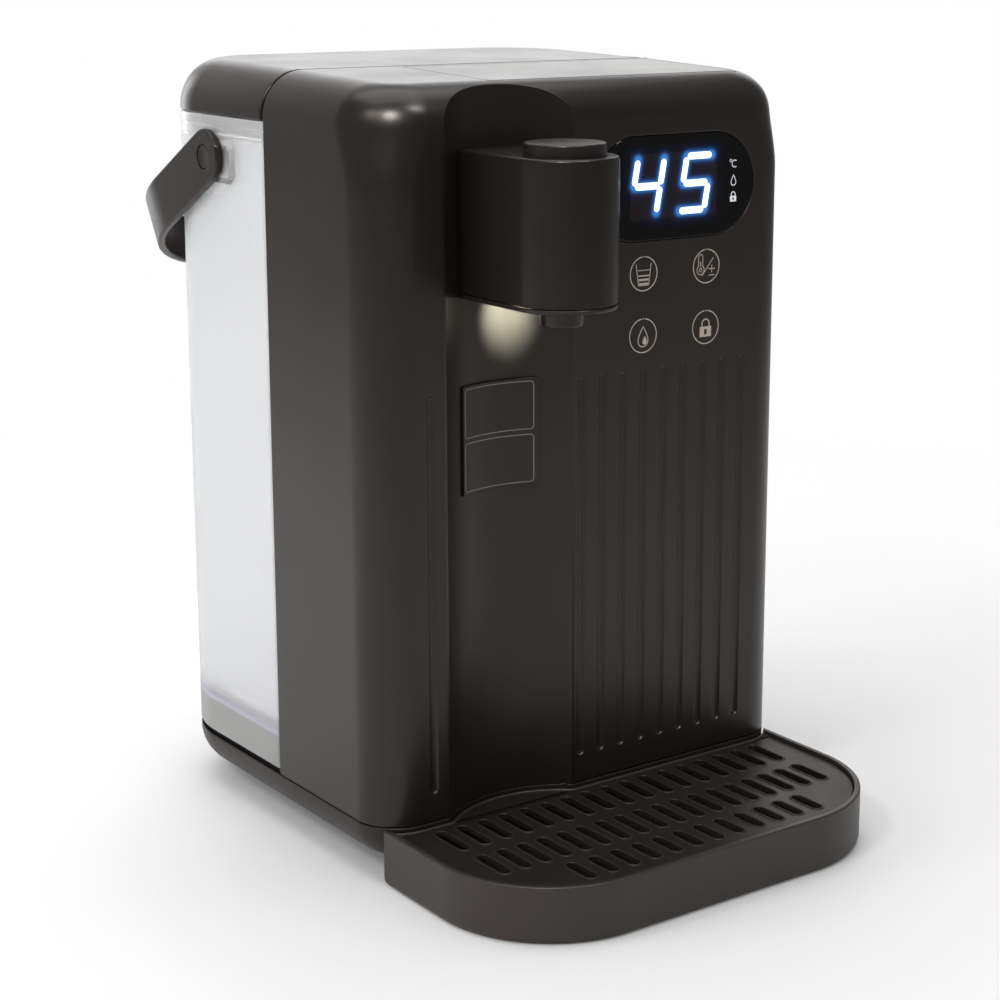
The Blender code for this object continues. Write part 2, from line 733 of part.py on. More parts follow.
def channel_plate():
    """A thin plate that follows the channel's curve."""
    half = PLATE_HALF_WIDTH
    low_y = CHANNEL_AXIS_Y
    high_y = FACE_Y + CHANNEL_DEPTH
    form = block(
        (CHANNEL_X - half, low_y, PLATE_LOW_Z),
        (CHANNEL_X + half, high_y, PLATE_LOW_Z + PLATE_HEIGHT),
    )
    plate = add("channel_plate", form, DARK_PLASTIC)
    span = (PLATE_LOW_Z - OVERRUN, PLATE_LOW_Z + PLATE_HEIGHT + OVERRUN)
    keep_inside(plate, helper("plate_back", channel_form(-SEAT_GAP, *span)))
    cut(plate, helper("plate_front", channel_form(-SEAT_GAP - PLATE_THICKNESS, *span)))


def bulkhead():
    """The wall that closes the housing towards the tank, with four screws."""
    half = HALF_WIDTH - SHELL_WALL - SEAT_GAP
    high_z = SHELL_TOP_Z - SHELL_WALL - SEAT_GAP
    form = block((-half, BULKHEAD_FRONT_Y, SHELL_LOW_Z), (half, BULKHEAD_REAR_Y, high_z))
    round_edges(
        form, lambda a, b: abs(a.y - b.y) > TINY and min(a.z, b.z) > high_z - TINY,
        TOP_EDGE_RADIUS - SHELL_WALL - SEAT_GAP, EDGE_STEPS,
    )
    plate = add("rear_bulkhead", form, DARK_PLASTIC)
    holes = []
    head_y = BULKHEAD_REAR_Y - SCREW_HEAD_THICKNESS
    for x, z in boss_places():
        shank = turned_to(cylinder(SCREW_SHANK_RADIUS + SEAT_GAP, -OVERRUN, OVERRUN), (0, 1, 0))
        holes.append(moved(shank, (x, BULKHEAD_FRONT_Y, z)))
    cut(plate, helper("bulkhead_holes", merged(holes)))
    heads = []
    for x, z in boss_places():
        head = turned_to(cylinder(SCREW_HEAD_RADIUS + SEAT_GAP, -SEAT_GAP, OVERRUN), (0, 1, 0))
        heads.append(moved(head, (x, head_y, z)))
    cut(plate, helper("bulkhead_head_recesses", merged(heads)))
    for i, (x, z) in enumerate(boss_places()):
        screw(f"bulkhead_screw_{i + 1}", (x, BULKHEAD_REAR_Y, z), (0, 1, 0), SCREW_LENGTH)


def screw(name, place, axis, length):
    """A pan screw with its head's outer face at the place, pointing back along the axis."""
    turned(
        name,
        [
            (0, 0), (SCREW_HEAD_RADIUS, 0), (SCREW_HEAD_RADIUS, -SCREW_HEAD_THICKNESS),
            (SCREW_SHANK_RADIUS, -SCREW_HEAD_THICKNESS), (SCREW_SHANK_RADIUS, -length), (0, -length),
        ],
        STEEL, place, steps=12, axis=axis,
    )


# Spout

def nose_plan(inset, low_z, high_z, rear_y):
    """The spout's plan, a block with a half round front end."""
    radius = SPOUT_HALF_WIDTH - inset
    form = bmesh.new()
    bmesh.ops.create_cone(
        form, cap_ends=True, segments=FINE_STEPS, radius1=radius, radius2=radius, depth=high_z - low_z,
    )
    for vert in form.verts:
        if vert.co.y > TINY:
            vert.co.y = rear_y - SPOUT_NOSE_Y
            vert.co.x = math.copysign(radius, vert.co.x) if abs(vert.co.x) > TINY else 0
    bmesh.ops.remove_doubles(form, verts=form.verts, dist=TINY)
    bmesh.ops.translate(form, verts=form.verts, vec=(CHANNEL_X, SPOUT_NOSE_Y, (low_z + high_z) / 2))
    return form


def spout():
    cover_top = SPOUT_LOW_Z + SPOUT_COVER_THICKNESS
    rear_y = FACE_Y + CHANNEL_DEPTH
    span = (SPOUT_LOW_Z - OVERRUN, SPOUT_TOP_Z + OVERRUN)
    against_channel = helper("spout_back", channel_form(-SEAT_GAP, *span))

    housing = add("spout_housing", nose_plan(0, cover_top + SEAT_GAP, SPOUT_TOP_Z, rear_y), DARK_PLASTIC)
    edge = housing.modifiers.new("edge", "BEVEL")
    edge.width = SPOUT_EDGE_RADIUS
    edge.segments = 1
    edge.limit_method = "ANGLE"
    edge.angle_limit = math.radians(60)
    keep_inside(housing, against_channel)
    roof_z = SPOUT_TOP_Z - SPOUT_WALL
    cut(housing, helper("spout_hollow", nose_plan(SPOUT_WALL, cover_top - OVERRUN, roof_z, rear_y + OVERRUN)))
    button_hole = cylinder(BUTTON_RADIUS + SEAT_GAP, roof_z - OVERRUN, SPOUT_TOP_Z + OVERRUN, FINE_STEPS)
    cut(housing, helper("button_hole", moved(button_hole, (CHANNEL_X, SPOUT_NOSE_Y, 0))))

    cover = add("spout_cover", nose_plan(0, SPOUT_LOW_Z, cover_top, rear_y), DARK_PLASTIC)
    keep_inside(cover, against_channel)
    nozzle_y = FACE_Y - NOZZLE_FROM_FACE
    lamp_y = FACE_Y - LAMP_FROM_FACE
    holes = [
        moved(cylinder(NOZZLE_RADIUS + SEAT_GAP, *span), (CHANNEL_X, nozzle_y, 0)),
        moved(cylinder(LAMP_RADIUS + SEAT_GAP, *span), (CHANNEL_X, lamp_y, 0)),
    ]
    cut(cover, helper("cover_holes", merged(holes)))

    flange_low = cover_top + SEAT_GAP
    flange_top = flange_low + NOZZLE_FLANGE_THICKNESS
    turned(
        "outlet_nozzle",
        [
            (NOZZLE_BARB_RADIUS, NOZZLE_BARB_TOP_Z), (NOZZLE_BARB_RADIUS, flange_top),
            (NOZZLE_FLANGE_RADIUS, flange_top), (NOZZLE_FLANGE_RADIUS, flange_low),
            (NOZZLE_RADIUS, flange_low), (NOZZLE_RADIUS, NOZZLE_LOW_Z),
            (NOZZLE_BORE_RADIUS, NOZZLE_LOW_Z), (NOZZLE_BORE_RADIUS, flange_low),
            (NOZZLE_BARB_BORE_RADIUS, flange_top), (NOZZLE_BARB_BORE_RADIUS, NOZZLE_BARB_TOP_Z),
        ],
        DARK_PLASTIC, (CHANNEL_X, nozzle_y, 0), closed=True,
    )
    lamp_top = flange_low + LAMP_FLANGE_THICKNESS
    turned(
        "lamp_lens",
        [
            (0, lamp_top), (LAMP_FLANGE_RADIUS, lamp_top), (LAMP_FLANGE_RADIUS, flange_low),
            (LAMP_RADIUS, flange_low), (LAMP_RADIUS, SPOUT_LOW_Z), (0, SPOUT_LOW_Z),
        ],
        LAMP_CLEAR, (CHANNEL_X, lamp_y, 0),
    )
    chip_low = lamp_top + SEAT_GAP
    board_low = chip_low + LAMP_CHIP_HEIGHT
    board = add(
        "lamp_board",
        centred(
            (CHANNEL_X, lamp_y, board_low + BOARD_THICKNESS / 2),
            (LAMP_BOARD_LENGTH, LAMP_BOARD_WIDTH, BOARD_THICKNESS),
        ),
        BOARD_GREEN,
    )
    chip = block(
        (CHANNEL_X - LAMP_CHIP_SIDE / 2, lamp_y - LAMP_CHIP_SIDE / 2, chip_low),
        (CHANNEL_X + LAMP_CHIP_SIDE / 2, lamp_y + LAMP_CHIP_SIDE / 2, board_low + BOARD_THICKNESS / 2),
    )
    join(board, helper("lamp_chip", chip))


def spout_button():
    """The round button on the spout, its bracket, switch and spring."""
    centre = (CHANNEL_X, SPOUT_NOSE_Y, 0)
    flange_top = BUTTON_LOW_Z + BUTTON_FLANGE_THICKNESS
    turned(
        "top_button",
        [
            (0, BUTTON_TOP_Z), (BUTTON_RADIUS, BUTTON_TOP_Z), (BUTTON_RADIUS, flange_top),
            (BUTTON_FLANGE_RADIUS, flange_top), (BUTTON_FLANGE_RADIUS, BUTTON_LOW_Z),
            (BUTTON_STEM_RADIUS, BUTTON_LOW_Z), (BUTTON_STEM_RADIUS, BUTTON_STEM_LOW_Z), (0, BUTTON_STEM_LOW_Z),
        ],
        DARK_PLASTIC, centre, steps=FINE_STEPS,
    )
    bracket_low = BRACKET_TOP_Z - BRACKET_THICKNESS
    rear_y = FACE_Y - SPOUT_WALL
    shelf = nose_plan(SPOUT_WALL + SEAT_GAP, bracket_low, BRACKET_TOP_Z, rear_y)
    add("button_bracket", shelf, DARK_PLASTIC)
    switch_top = BUTTON_STEM_LOW_Z - BUTTON_TRAVEL - SEAT_GAP
    switch_low = BRACKET_TOP_Z + SEAT_GAP
    body_top = switch_top - SWITCH_CAP_HEIGHT
    switch = add(
        "button_switch",
        block(
            (CHANNEL_X - SWITCH_LENGTH / 2, SPOUT_NOSE_Y - SWITCH_WIDTH / 2, switch_low),
            (CHANNEL_X + SWITCH_LENGTH / 2, SPOUT_NOSE_Y + SWITCH_WIDTH / 2, body_top),
        ),
        BLACK_PLASTIC,
    )
    cap = moved(cylinder(SWITCH_CAP_RADIUS, body_top - SWITCH_CAP_HEIGHT / 2, switch_top), centre)
    join(switch, helper("switch_cap", cap))
    coil(
        "button_spring", centre, BUTTON_SPRING_RADIUS, BUTTON_SPRING_WIRE, BUTTON_SPRING_TURNS,
        BRACKET_TOP_Z + SEAT_GAP, BUTTON_LOW_Z - SEAT_GAP, STEEL,
    )


# Boards in the front housing

def boards():
    behind = FACE_Y + SHELL_WALL + SEAT_GAP
    window_inner = WINDOW_LENGTH - 2 * WINDOW_LEDGE - 2 * DISPLAY_MARGIN
    window_high = WINDOW_HEIGHT - 2 * WINDOW_LEDGE - 2 * DISPLAY_MARGIN
    glass_back = WINDOW_THICKNESS + SEAT_GAP
    display = window_form(window_inner, window_high, glass_back, SHELL_WALL + DISPLAY_DEPTH)
    board = add("display_board", display, BLACK_PLASTIC)
    rear = centred(
        (WINDOW_X, behind + DISPLAY_DEPTH - BOARD_THICKNESS / 2, WINDOW_Z),
        (WINDOW_LENGTH - WINDOW_LEDGE, BOARD_THICKNESS, WINDOW_HEIGHT - WINDOW_LEDGE),
    )
    join(board, helper("display_back", rear))

    touch = add(
        "touch_board",
        centred(
            (TOUCH_BOARD_X, behind + SENSOR_THICKNESS + BOARD_THICKNESS / 2, TOUCH_BOARD_Z),
            (TOUCH_BOARD_WIDTH, BOARD_THICKNESS, TOUCH_BOARD_HEIGHT),
        ),
        BOARD_GREEN,
    )
    sensors = []
    for side in (-1, 1):
        for level in (-1, 1):
            sensor = turned_to(cylinder(SENSOR_RADIUS, 0, SENSOR_THICKNESS + BOARD_THICKNESS / 2), (0, 1, 0))
            x = TOUCH_BOARD_X + side * SENSOR_SPREAD_X
            z = TOUCH_BOARD_Z + level * SENSOR_SPREAD_Z
            sensors.append(moved(sensor, (x, behind, z)))
    join(touch, helper("touch_sensors", merged(sensors)))

    board_y = BULKHEAD_FRONT_Y - SEAT_GAP - STANDOFF_LENGTH
    power = add(
        "power_board",
        centred(
            (POWER_BOARD_X, board_y - BOARD_THICKNESS / 2, POWER_BOARD_Z),
            (POWER_BOARD_WIDTH, BOARD_THICKNESS, POWER_BOARD_HEIGHT),
        ),
        BOARD_GREEN,
    )
    standoffs = []
    for side in (-1, 1):
        for level in (-1, 1):
            x = POWER_BOARD_X + side * (POWER_BOARD_WIDTH / 2 - STANDOFF_RADIUS * 2)
            z = POWER_BOARD_Z + level * (POWER_BOARD_HEIGHT / 2 - STANDOFF_RADIUS * 2)
            post = turned_to(cylinder(STANDOFF_RADIUS, -BOARD_THICKNESS / 2, STANDOFF_LENGTH, SLOT_STEPS), (0, 1, 0))
            standoffs.append(moved(post, (x, board_y, z)))
    join(power, helper("standoffs", merged(standoffs)))
    front_y = board_y - BOARD_THICKNESS
    blocks = []
    for x_share, z_share, width_share, height_share, depth in POWER_PARTS_SHARES:
        width = POWER_BOARD_WIDTH * width_share
        height = POWER_BOARD_HEIGHT * height_share
        x = POWER_BOARD_X + POWER_BOARD_WIDTH * x_share
        z = POWER_BOARD_Z + POWER_BOARD_HEIGHT * z_share
        blocks.append(block(
            (x - width / 2, front_y - depth * POWER_PART_DEPTH, z - height / 2),
            (x + width / 2, front_y + BOARD_THICKNESS / 2, z + height / 2),
        ))
    join(power, helper("power_parts", merged(blocks)))


# Heater, pump and hoses

def heater():
    cap_z = HEATER_TOP_Z - HEATER_CAP_HEIGHT
    foot_z = HEATER_LOW_Z + HEATER_CAP_HEIGHT
    top = HEATER_TOP_Z + HEATER_BARB_LENGTH
    low = HEATER_LOW_Z - HEATER_BARB_LENGTH
    inner = HEATER_RADIUS - HEATER_WALL
    turned(
        "heater",
        [
            (HEATER_BARB_RADIUS, top), (HEATER_BARB_RADIUS, HEATER_TOP_Z),
            (HEATER_CAP_RADIUS, HEATER_TOP_Z), (HEATER_CAP_RADIUS, cap_z), (HEATER_RADIUS, cap_z),
            (HEATER_RADIUS, foot_z), (HEATER_CAP_RADIUS, foot_z), (HEATER_CAP_RADIUS, HEATER_LOW_Z),
            (HEATER_BARB_RADIUS, HEATER_LOW_Z), (HEATER_BARB_RADIUS, low), (HEATER_BORE_RADIUS, low),
            (HEATER_BORE_RADIUS, foot_z), (inner, foot_z), (inner, cap_z), (HEATER_BORE_RADIUS, cap_z),
            (HEATER_BORE_RADIUS, top),
        ],
        STEEL, (HEATER_X, HEATER_Y, 0), steps=MIDDLE_STEPS, closed=True,
    )
    middle_z = (HEATER_LOW_Z + HEATER_TOP_Z) / 2
    low_z = middle_z - STRAP_HEIGHT / 2
    high_z = middle_z + STRAP_HEIGHT / 2
    outer = HEATER_RADIUS + SEAT_GAP + STRAP_THICKNESS
    strap = add("heater_bracket", moved(cylinder(outer, low_z, high_z, MIDDLE_STEPS), (HEATER_X, HEATER_Y, 0)), STEEL)
    foot_y = BULKHEAD_FRONT_Y - SEAT_GAP
    foot = merged([
        block(
            (HEATER_X - STRAP_FOOT_HALF_WIDTH, foot_y - STRAP_FOOT_THICKNESS, low_z),
            (HEATER_X + STRAP_FOOT_HALF_WIDTH, foot_y, high_z),
        ),
    ])
    web = block(
        (HEATER_X - HEATER_RADIUS / 2, HEATER_Y + HEATER_RADIUS, low_z),
        (HEATER_X + HEATER_RADIUS / 2, foot_y - STRAP_FOOT_THICKNESS / 2, high_z),
    )
    join(strap, helper("strap_web", web), helper("strap_foot", foot))
    bore = cylinder(HEATER_RADIUS + SEAT_GAP, low_z - OVERRUN, high_z + OVERRUN, MIDDLE_STEPS)
    cut(strap, helper("strap_bore", moved(bore, (HEATER_X, HEATER_Y, 0))))

    start_x = HEATER_X + HEATER_RADIUS + SEAT_GAP
    thermostat_z = (high_z + cap_z) / 2
    add(
        "thermostat",
        moved(
            turned_to(cylinder(THERMOSTAT_RADIUS, 0, THERMOSTAT_DEPTH), (1, 0, 0)),
            (start_x, HEATER_Y, thermostat_z),
        ),
        STEEL,
    )


def pump():
    """A small turbine pump: motor and volute in one body, a cover with the inlet, and the impeller."""
    place = (PUMP_X, PUMP_Y, 0)
    shaft_low = CHAMBER_FLOOR_Z - SHAFT_LENGTH - SHAFT_PLAY
    shaft_bore = SHAFT_RADIUS + SHAFT_PLAY
    body = turned(
        "pump_body",
        [
            (CHAMBER_RADIUS, VOLUTE_TOP_Z), (VOLUTE_RADIUS, VOLUTE_TOP_Z), (VOLUTE_RADIUS, MOTOR_TOP_Z),
            (MOTOR_RADIUS, MOTOR_TOP_Z), (MOTOR_RADIUS, PUMP_LOW_Z), (0, PUMP_LOW_Z),
        ] + [(0, shaft_low), (shaft_bore, shaft_low), (shaft_bore, CHAMBER_FLOOR_Z), (CHAMBER_RADIUS, CHAMBER_FLOOR_Z)],
        BLACK_PLASTIC, place, steps=MIDDLE_STEPS, closed=True,
    )
    outlet_z = (CHAMBER_FLOOR_Z + VOLUTE_TOP_Z) / 2
    reach = VOLUTE_RADIUS + PUMP_BARB_LENGTH
    start = (CHAMBER_RADIUS + VOLUTE_RADIUS) / 2
    barb = moved(turned_to(cylinder(PUMP_BARB_RADIUS, start, reach), (-1, 0, 0)), (PUMP_X, PUMP_Y, outlet_z))
    join(body, helper("pump_outlet", barb))
    bore = turned_to(cylinder(PUMP_BARB_BORE_RADIUS, IMPELLER_RADIUS, reach + OVERRUN), (-1, 0, 0))
    cut(body, helper("pump_outlet_bore", moved(bore, (PUMP_X, PUMP_Y, outlet_z))))

    low = VOLUTE_TOP_Z + SEAT_GAP
    top = low + PUMP_COVER_THICKNESS
    barb_top = top + PUMP_BARB_LENGTH
    turned(
        "pump_cover",
        [
            (PUMP_BARB_RADIUS, barb_top), (PUMP_BARB_RADIUS, top), (VOLUTE_RADIUS, top), (VOLUTE_RADIUS, low),
            (PUMP_BARB_BORE_RADIUS, low), (PUMP_BARB_BORE_RADIUS, barb_top),
        ],
        BLACK_PLASTIC, place, steps=MIDDLE_STEPS, closed=True,
    )
    disc_low = CHAMBER_FLOOR_Z + SLIDE_GAP
    disc_top = disc_low + IMPELLER_DISC
    hub_top = disc_top + IMPELLER_VANE_HEIGHT
    wheel = turned(
        "pump_impeller",
        [
            (0, hub_top), (IMPELLER_HUB_RADIUS, hub_top), (IMPELLER_HUB_RADIUS, disc_top),
            (IMPELLER_RADIUS, disc_top), (IMPELLER_RADIUS, disc_low), (SHAFT_RADIUS, disc_low),
            (SHAFT_RADIUS, CHAMBER_FLOOR_Z - SHAFT_LENGTH), (0, CHAMBER_FLOOR_Z - SHAFT_LENGTH),
        ],
        WHITE_PLASTIC, place, steps=MIDDLE_STEPS,
    )
    vanes = []
    for i in range(IMPELLER_VANES):
        inner = IMPELLER_HUB_RADIUS * VANE_START_SHARE
        vane = block(
            (inner, -IMPELLER_VANE_THICKNESS / 2, disc_low + IMPELLER_DISC / 2),
            (IMPELLER_RADIUS - SEAT_GAP, IMPELLER_VANE_THICKNESS / 2, hub_top - SEAT_GAP),
        )
        turn = Matrix.Rotation(2 * math.pi * i / IMPELLER_VANES, 3, "Z")
        bmesh.ops.rotate(vane, cent=(0, 0, 0), matrix=turn, verts=vane.verts)
        vanes.append(moved(vane, place))
    for i, vane in enumerate(vanes):
        join(wheel, helper(f"vane_{i + 1}", vane))


def hose(name, start, start_way, middle, end, end_way):
    """A hose that leaves its first end and reaches its last straight along the given ways."""
    first = Vector(start) + Vector(start_way) * HOSE_RADIUS
    last = Vector(end) - Vector(end_way) * HOSE_RADIUS
    route = smooth_route([first, *middle, last], HOSE_STEPS)
    rod(name, [Vector(start), *route, Vector(end)], HOSE_RADIUS, CLEAR_RUBBER)


def hoses():
    lead = 3 * HOSE_RADIUS
    barb_y = DOCK_Y - DOCK_BARB_REACH - SEAT_GAP
    rib_y = (BULKHEAD_FRONT_Y + BULKHEAD_REAR_Y) / 2
    pump_top = VOLUTE_TOP_Z + SEAT_GAP + PUMP_COVER_THICKNESS + PUMP_BARB_LENGTH + SEAT_GAP
    hose(
        "tank_hose", (0, barb_y, DOCK_BARB_Z), (0, -1, 0),
        [
            (0, rib_y, DOCK_BARB_Z), (0, rib_y - 2 * lead, DOCK_BARB_Z + HOSE_RADIUS),
            (0, PUMP_Y, pump_top - lead), (PUMP_X * HOSE_BEND_SHARE, PUMP_Y, pump_top + 2 * lead),
            (PUMP_X - HOSE_RADIUS, PUMP_Y, pump_top + 2 * lead),
        ],
        (PUMP_X, PUMP_Y, pump_top), (0, 0, -1),
    )
    outlet_z = (CHAMBER_FLOOR_Z + VOLUTE_TOP_Z) / 2
    outlet_x = PUMP_X - VOLUTE_RADIUS - PUMP_BARB_LENGTH - SEAT_GAP
    heater_low = HEATER_LOW_Z - HEATER_BARB_LENGTH - SEAT_GAP
    front_y = PUMP_Y - 2 * lead
    hose(
        "pump_hose", (outlet_x, PUMP_Y, outlet_z), (-1, 0, 0),
        [(-HOSE_RADIUS, front_y, outlet_z), (HEATER_X + HOSE_RADIUS, front_y + lead, outlet_z + HOSE_RADIUS)],
        (HEATER_X, HEATER_Y, heater_low), (0, 0, 1),
    )
    heater_top = HEATER_TOP_Z + HEATER_BARB_LENGTH + SEAT_GAP
    nozzle_y = FACE_Y - NOZZLE_FROM_FACE
    nozzle_top = NOZZLE_BARB_TOP_Z + SEAT_GAP
    wall_y = FACE_Y + CHANNEL_DEPTH
    hose(
        "outlet_hose", (HEATER_X, HEATER_Y, heater_top), (0, 0, 1),
        [
            (CHANNEL_X, wall_y + 2 * lead, SPOUT_HOSE_Z - HOSE_RADIUS), (CHANNEL_X, wall_y, SPOUT_HOSE_Z),
            (CHANNEL_X, nozzle_y + lead, SPOUT_HOSE_Z),
        ],
        (CHANNEL_X, nozzle_y, nozzle_top), (0, 0, -1),
    )


# Base, deck and dock

def base_plan(inset, low_z, high_z):
    ys = (FACE_Y + inset, REAR_Y - inset)
    return plan_form(HALF_WIDTH - inset, ys, (low_z, high_z), FRONT_RADIUS - inset, REAR_RADIUS - inset)


def base():
    form = base_plan(0, BASE_BOTTOM_Z, BASE_TOP_Z)
    round_edges(form, rim_at(BASE_BOTTOM_Z), BASE_EDGE_RADIUS, EDGE_STEPS)
    housing = add("base_housing", form, DARK_PLASTIC)
    hollow_form = base_plan(BASE_WALL, BASE_FLOOR_Z, BASE_TOP_Z + OVERRUN)
    round_edges(hollow_form, rim_at(BASE_FLOOR_Z), BASE_EDGE_RADIUS - BASE_WALL, EDGE_STEPS)
    hollow = helper("base_hollow", hollow_form)
    span = (0, BASE_TOP_Z + 2 * OVERRUN)
    cut(hollow, helper("base_channel_wall", channel_form(BASE_WALL, *span)))
    cut(housing, helper("base_channel", channel_form(0, *span)), hollow)
    rib_half = HALF_WIDTH - BASE_WALL / 2
    rib = block(
        (-rib_half, BULKHEAD_REAR_Y - RIB_THICKNESS, BASE_FLOOR_Z + BASE_EDGE_RADIUS - BASE_WALL),
        (rib_half, BULKHEAD_REAR_Y, BASE_TOP_Z),
    )
    low_half = HALF_WIDTH - BASE_EDGE_RADIUS
    low_rib = block(
        (-low_half, BULKHEAD_REAR_Y - RIB_THICKNESS, BASE_FLOOR_Z - BASE_WALL / 2),
        (low_half, BULKHEAD_REAR_Y, BASE_TOP_Z),
    )
    join(housing, helper("base_rib", low_rib), helper("base_rib_ends", rib))
    hose_hole = turned_to(cylinder(HOSE_RADIUS + SLIDE_GAP, -OVERRUN, OVERRUN), (0, 1, 0))
    cut(housing, helper("rib_hole", moved(hose_hole, (0, BULKHEAD_REAR_Y - RIB_THICKNESS / 2, DOCK_BARB_Z))))

    posts = []
    post_top = DECK_LOW_Z - SEAT_GAP
    for side in (-1, 1):
        place = (side * DECK_SCREW_X, FACE_Y + DECK_SCREW_FROM_FACE, 0)
        posts.append(moved(cylinder(POST_RADIUS, BASE_FLOOR_Z - BASE_WALL / 2, post_top), place))
    join(housing, helper("base_posts", merged(posts)))
    bores = []
    for side in (-1, 1):
        place = (side * DECK_SCREW_X, FACE_Y + DECK_SCREW_FROM_FACE, 0)
        low = DECK_TOP_Z - SCREW_LENGTH - SEAT_GAP
        bores.append(moved(cylinder(SCREW_SHANK_RADIUS + SEAT_GAP, low, post_top + OVERRUN), place))
    cut(housing, helper("post_bores", merged(bores)))

    rails = []
    rail_inner = TONGUE_HALF_WIDTH + SLIDE_GAP
    rail_front = FACE_Y + BASE_EDGE_RADIUS + CHANNEL_DEPTH
    for side in (-1, 1):
        near = side * rail_inner
        far = side * (rail_inner + RAIL_WIDTH)
        rails.append(block(
            (min(near, far), rail_front, BASE_BOTTOM_Z - RAIL_HEIGHT),
            (max(near, far), rail_front + RAIL_LENGTH, BASE_BOTTOM_Z + BASE_WALL / 2),
        ))
    join(housing, helper("tray_rails", merged(rails)))

    holes = []
    for name, x, y in foot_places():
        holes.append(moved(
            cylinder(FOOT_SPIGOT_RADIUS + SEAT_GAP, BASE_BOTTOM_Z - OVERRUN, BASE_FLOOR_Z + OVERRUN), (x, y, 0),
        ))
        foot(name, x, y)
    boss = block(
        (GLAND_X - GLAND_BOSS_HALF_WIDTH, REAR_Y - GLAND_BOSS_DEPTH, GLAND_BOSS_LOW_Z),
        (GLAND_X + GLAND_BOSS_HALF_WIDTH, REAR_Y - SEAT_GAP, GLAND_BOSS_HIGH_Z),
    )
    join(housing, helper("gland_boss", boss))
    reach = GLAND_BOSS_DEPTH + OVERRUN
    gland_hole = turned_to(cylinder(GLAND_RADIUS + SEAT_GAP, -reach, OVERRUN), (0, 1, 0))
    holes.append(moved(gland_hole, (GLAND_X, REAR_Y, GLAND_Z)))
    cut(housing, helper("base_holes", merged(holes)))
    flange = GLAND_FLANGE_THICKNESS
    turned(
        "cord_gland",
        [
            (GLAND_BORE_RADIUS, flange), (GLAND_FLANGE_RADIUS, flange), (GLAND_FLANGE_RADIUS, 0),
            (GLAND_RADIUS, 0), (GLAND_RADIUS, -GLAND_INSIDE), (GLAND_BORE_RADIUS, -GLAND_INSIDE),
        ],
        RUBBER, (GLAND_X, REAR_Y, GLAND_Z), closed=True, axis=(0, 1, 0),
    )


def foot_places():
    places = []
    for side, side_name in ((-1, "left"), (1, "right")):
        for along, end_name in ((FRONT_FOOT_FROM_FACE, "front"), (REAR_FOOT_FROM_FACE, "rear")):
            places.append((f"foot_{end_name}_{side_name}", side * FOOT_X, FACE_Y + along))
    return places


def foot(name, x, y):
    shoulder = BASE_BOTTOM_Z - SEAT_GAP
    top = shoulder + FOOT_SPIGOT_HEIGHT
    turned(
        name,
        [
            (0, top), (FOOT_SPIGOT_RADIUS, top), (FOOT_SPIGOT_RADIUS, shoulder), (FOOT_RADIUS, shoulder),
            (FOOT_RADIUS, 0), (0, 0),
        ],
        RUBBER, (x, y, 0),
    )


def deck_plan(inset, low_z, high_z, front_y):
    ys = (front_y, REAR_Y - inset)
    return plan_form(HALF_WIDTH - inset, ys, (low_z, high_z), rear_radius=REAR_RADIUS - inset)


def deck():
    """The plate that the tank stands on, with a rim that locates it in the base."""
    plate = add("tank_deck", deck_plan(DECK_INSET, DECK_LOW_Z, DECK_TOP_Z, TANK_FRONT_Y), DARK_PLASTIC)
    rim_inset = BASE_WALL + SEAT_GAP
    rim_low = DECK_LOW_Z - DECK_RIM_DEPTH
    rim_front = BULKHEAD_REAR_Y + SLIDE_GAP + SEAT_GAP
    rim = helper("deck_rim", deck_plan(rim_inset, rim_low, DECK_LOW_Z + DECK_THICKNESS / 2, rim_front))
    core = deck_plan(rim_inset + DECK_RIM_WALL, rim_low - OVERRUN, DECK_LOW_Z, rim_front + DECK_RIM_WALL)
    cut(rim, helper("deck_rim_hollow", core))
    join(plate, rim)
    dock_hole = cylinder(DOCK_CHAMBER_RADIUS + DOCK_CHAMBER_WALL + SEAT_GAP, 0, DECK_TOP_Z + OVERRUN, MIDDLE_STEPS)
    holes = [moved(dock_hole, (0, DOCK_Y, 0))]
    head_z = DECK_TOP_Z + SCREW_HEAD_THICKNESS + SEAT_GAP
    span = (DECK_LOW_Z - OVERRUN, DECK_TOP_Z + OVERRUN)
    for i, side in enumerate((-1, 1)):
        x = side * DECK_SCREW_X
        y = FACE_Y + DECK_SCREW_FROM_FACE
        holes.append(moved(cylinder(SCREW_SHANK_RADIUS + SEAT_GAP, *span), (x, y, 0)))
        screw(f"deck_screw_{i + 1}", (x, y, head_z), (0, 0, 1), SCREW_LENGTH + SCREW_HEAD_THICKNESS)
    cut(plate, helper("deck_holes", merged(holes)))


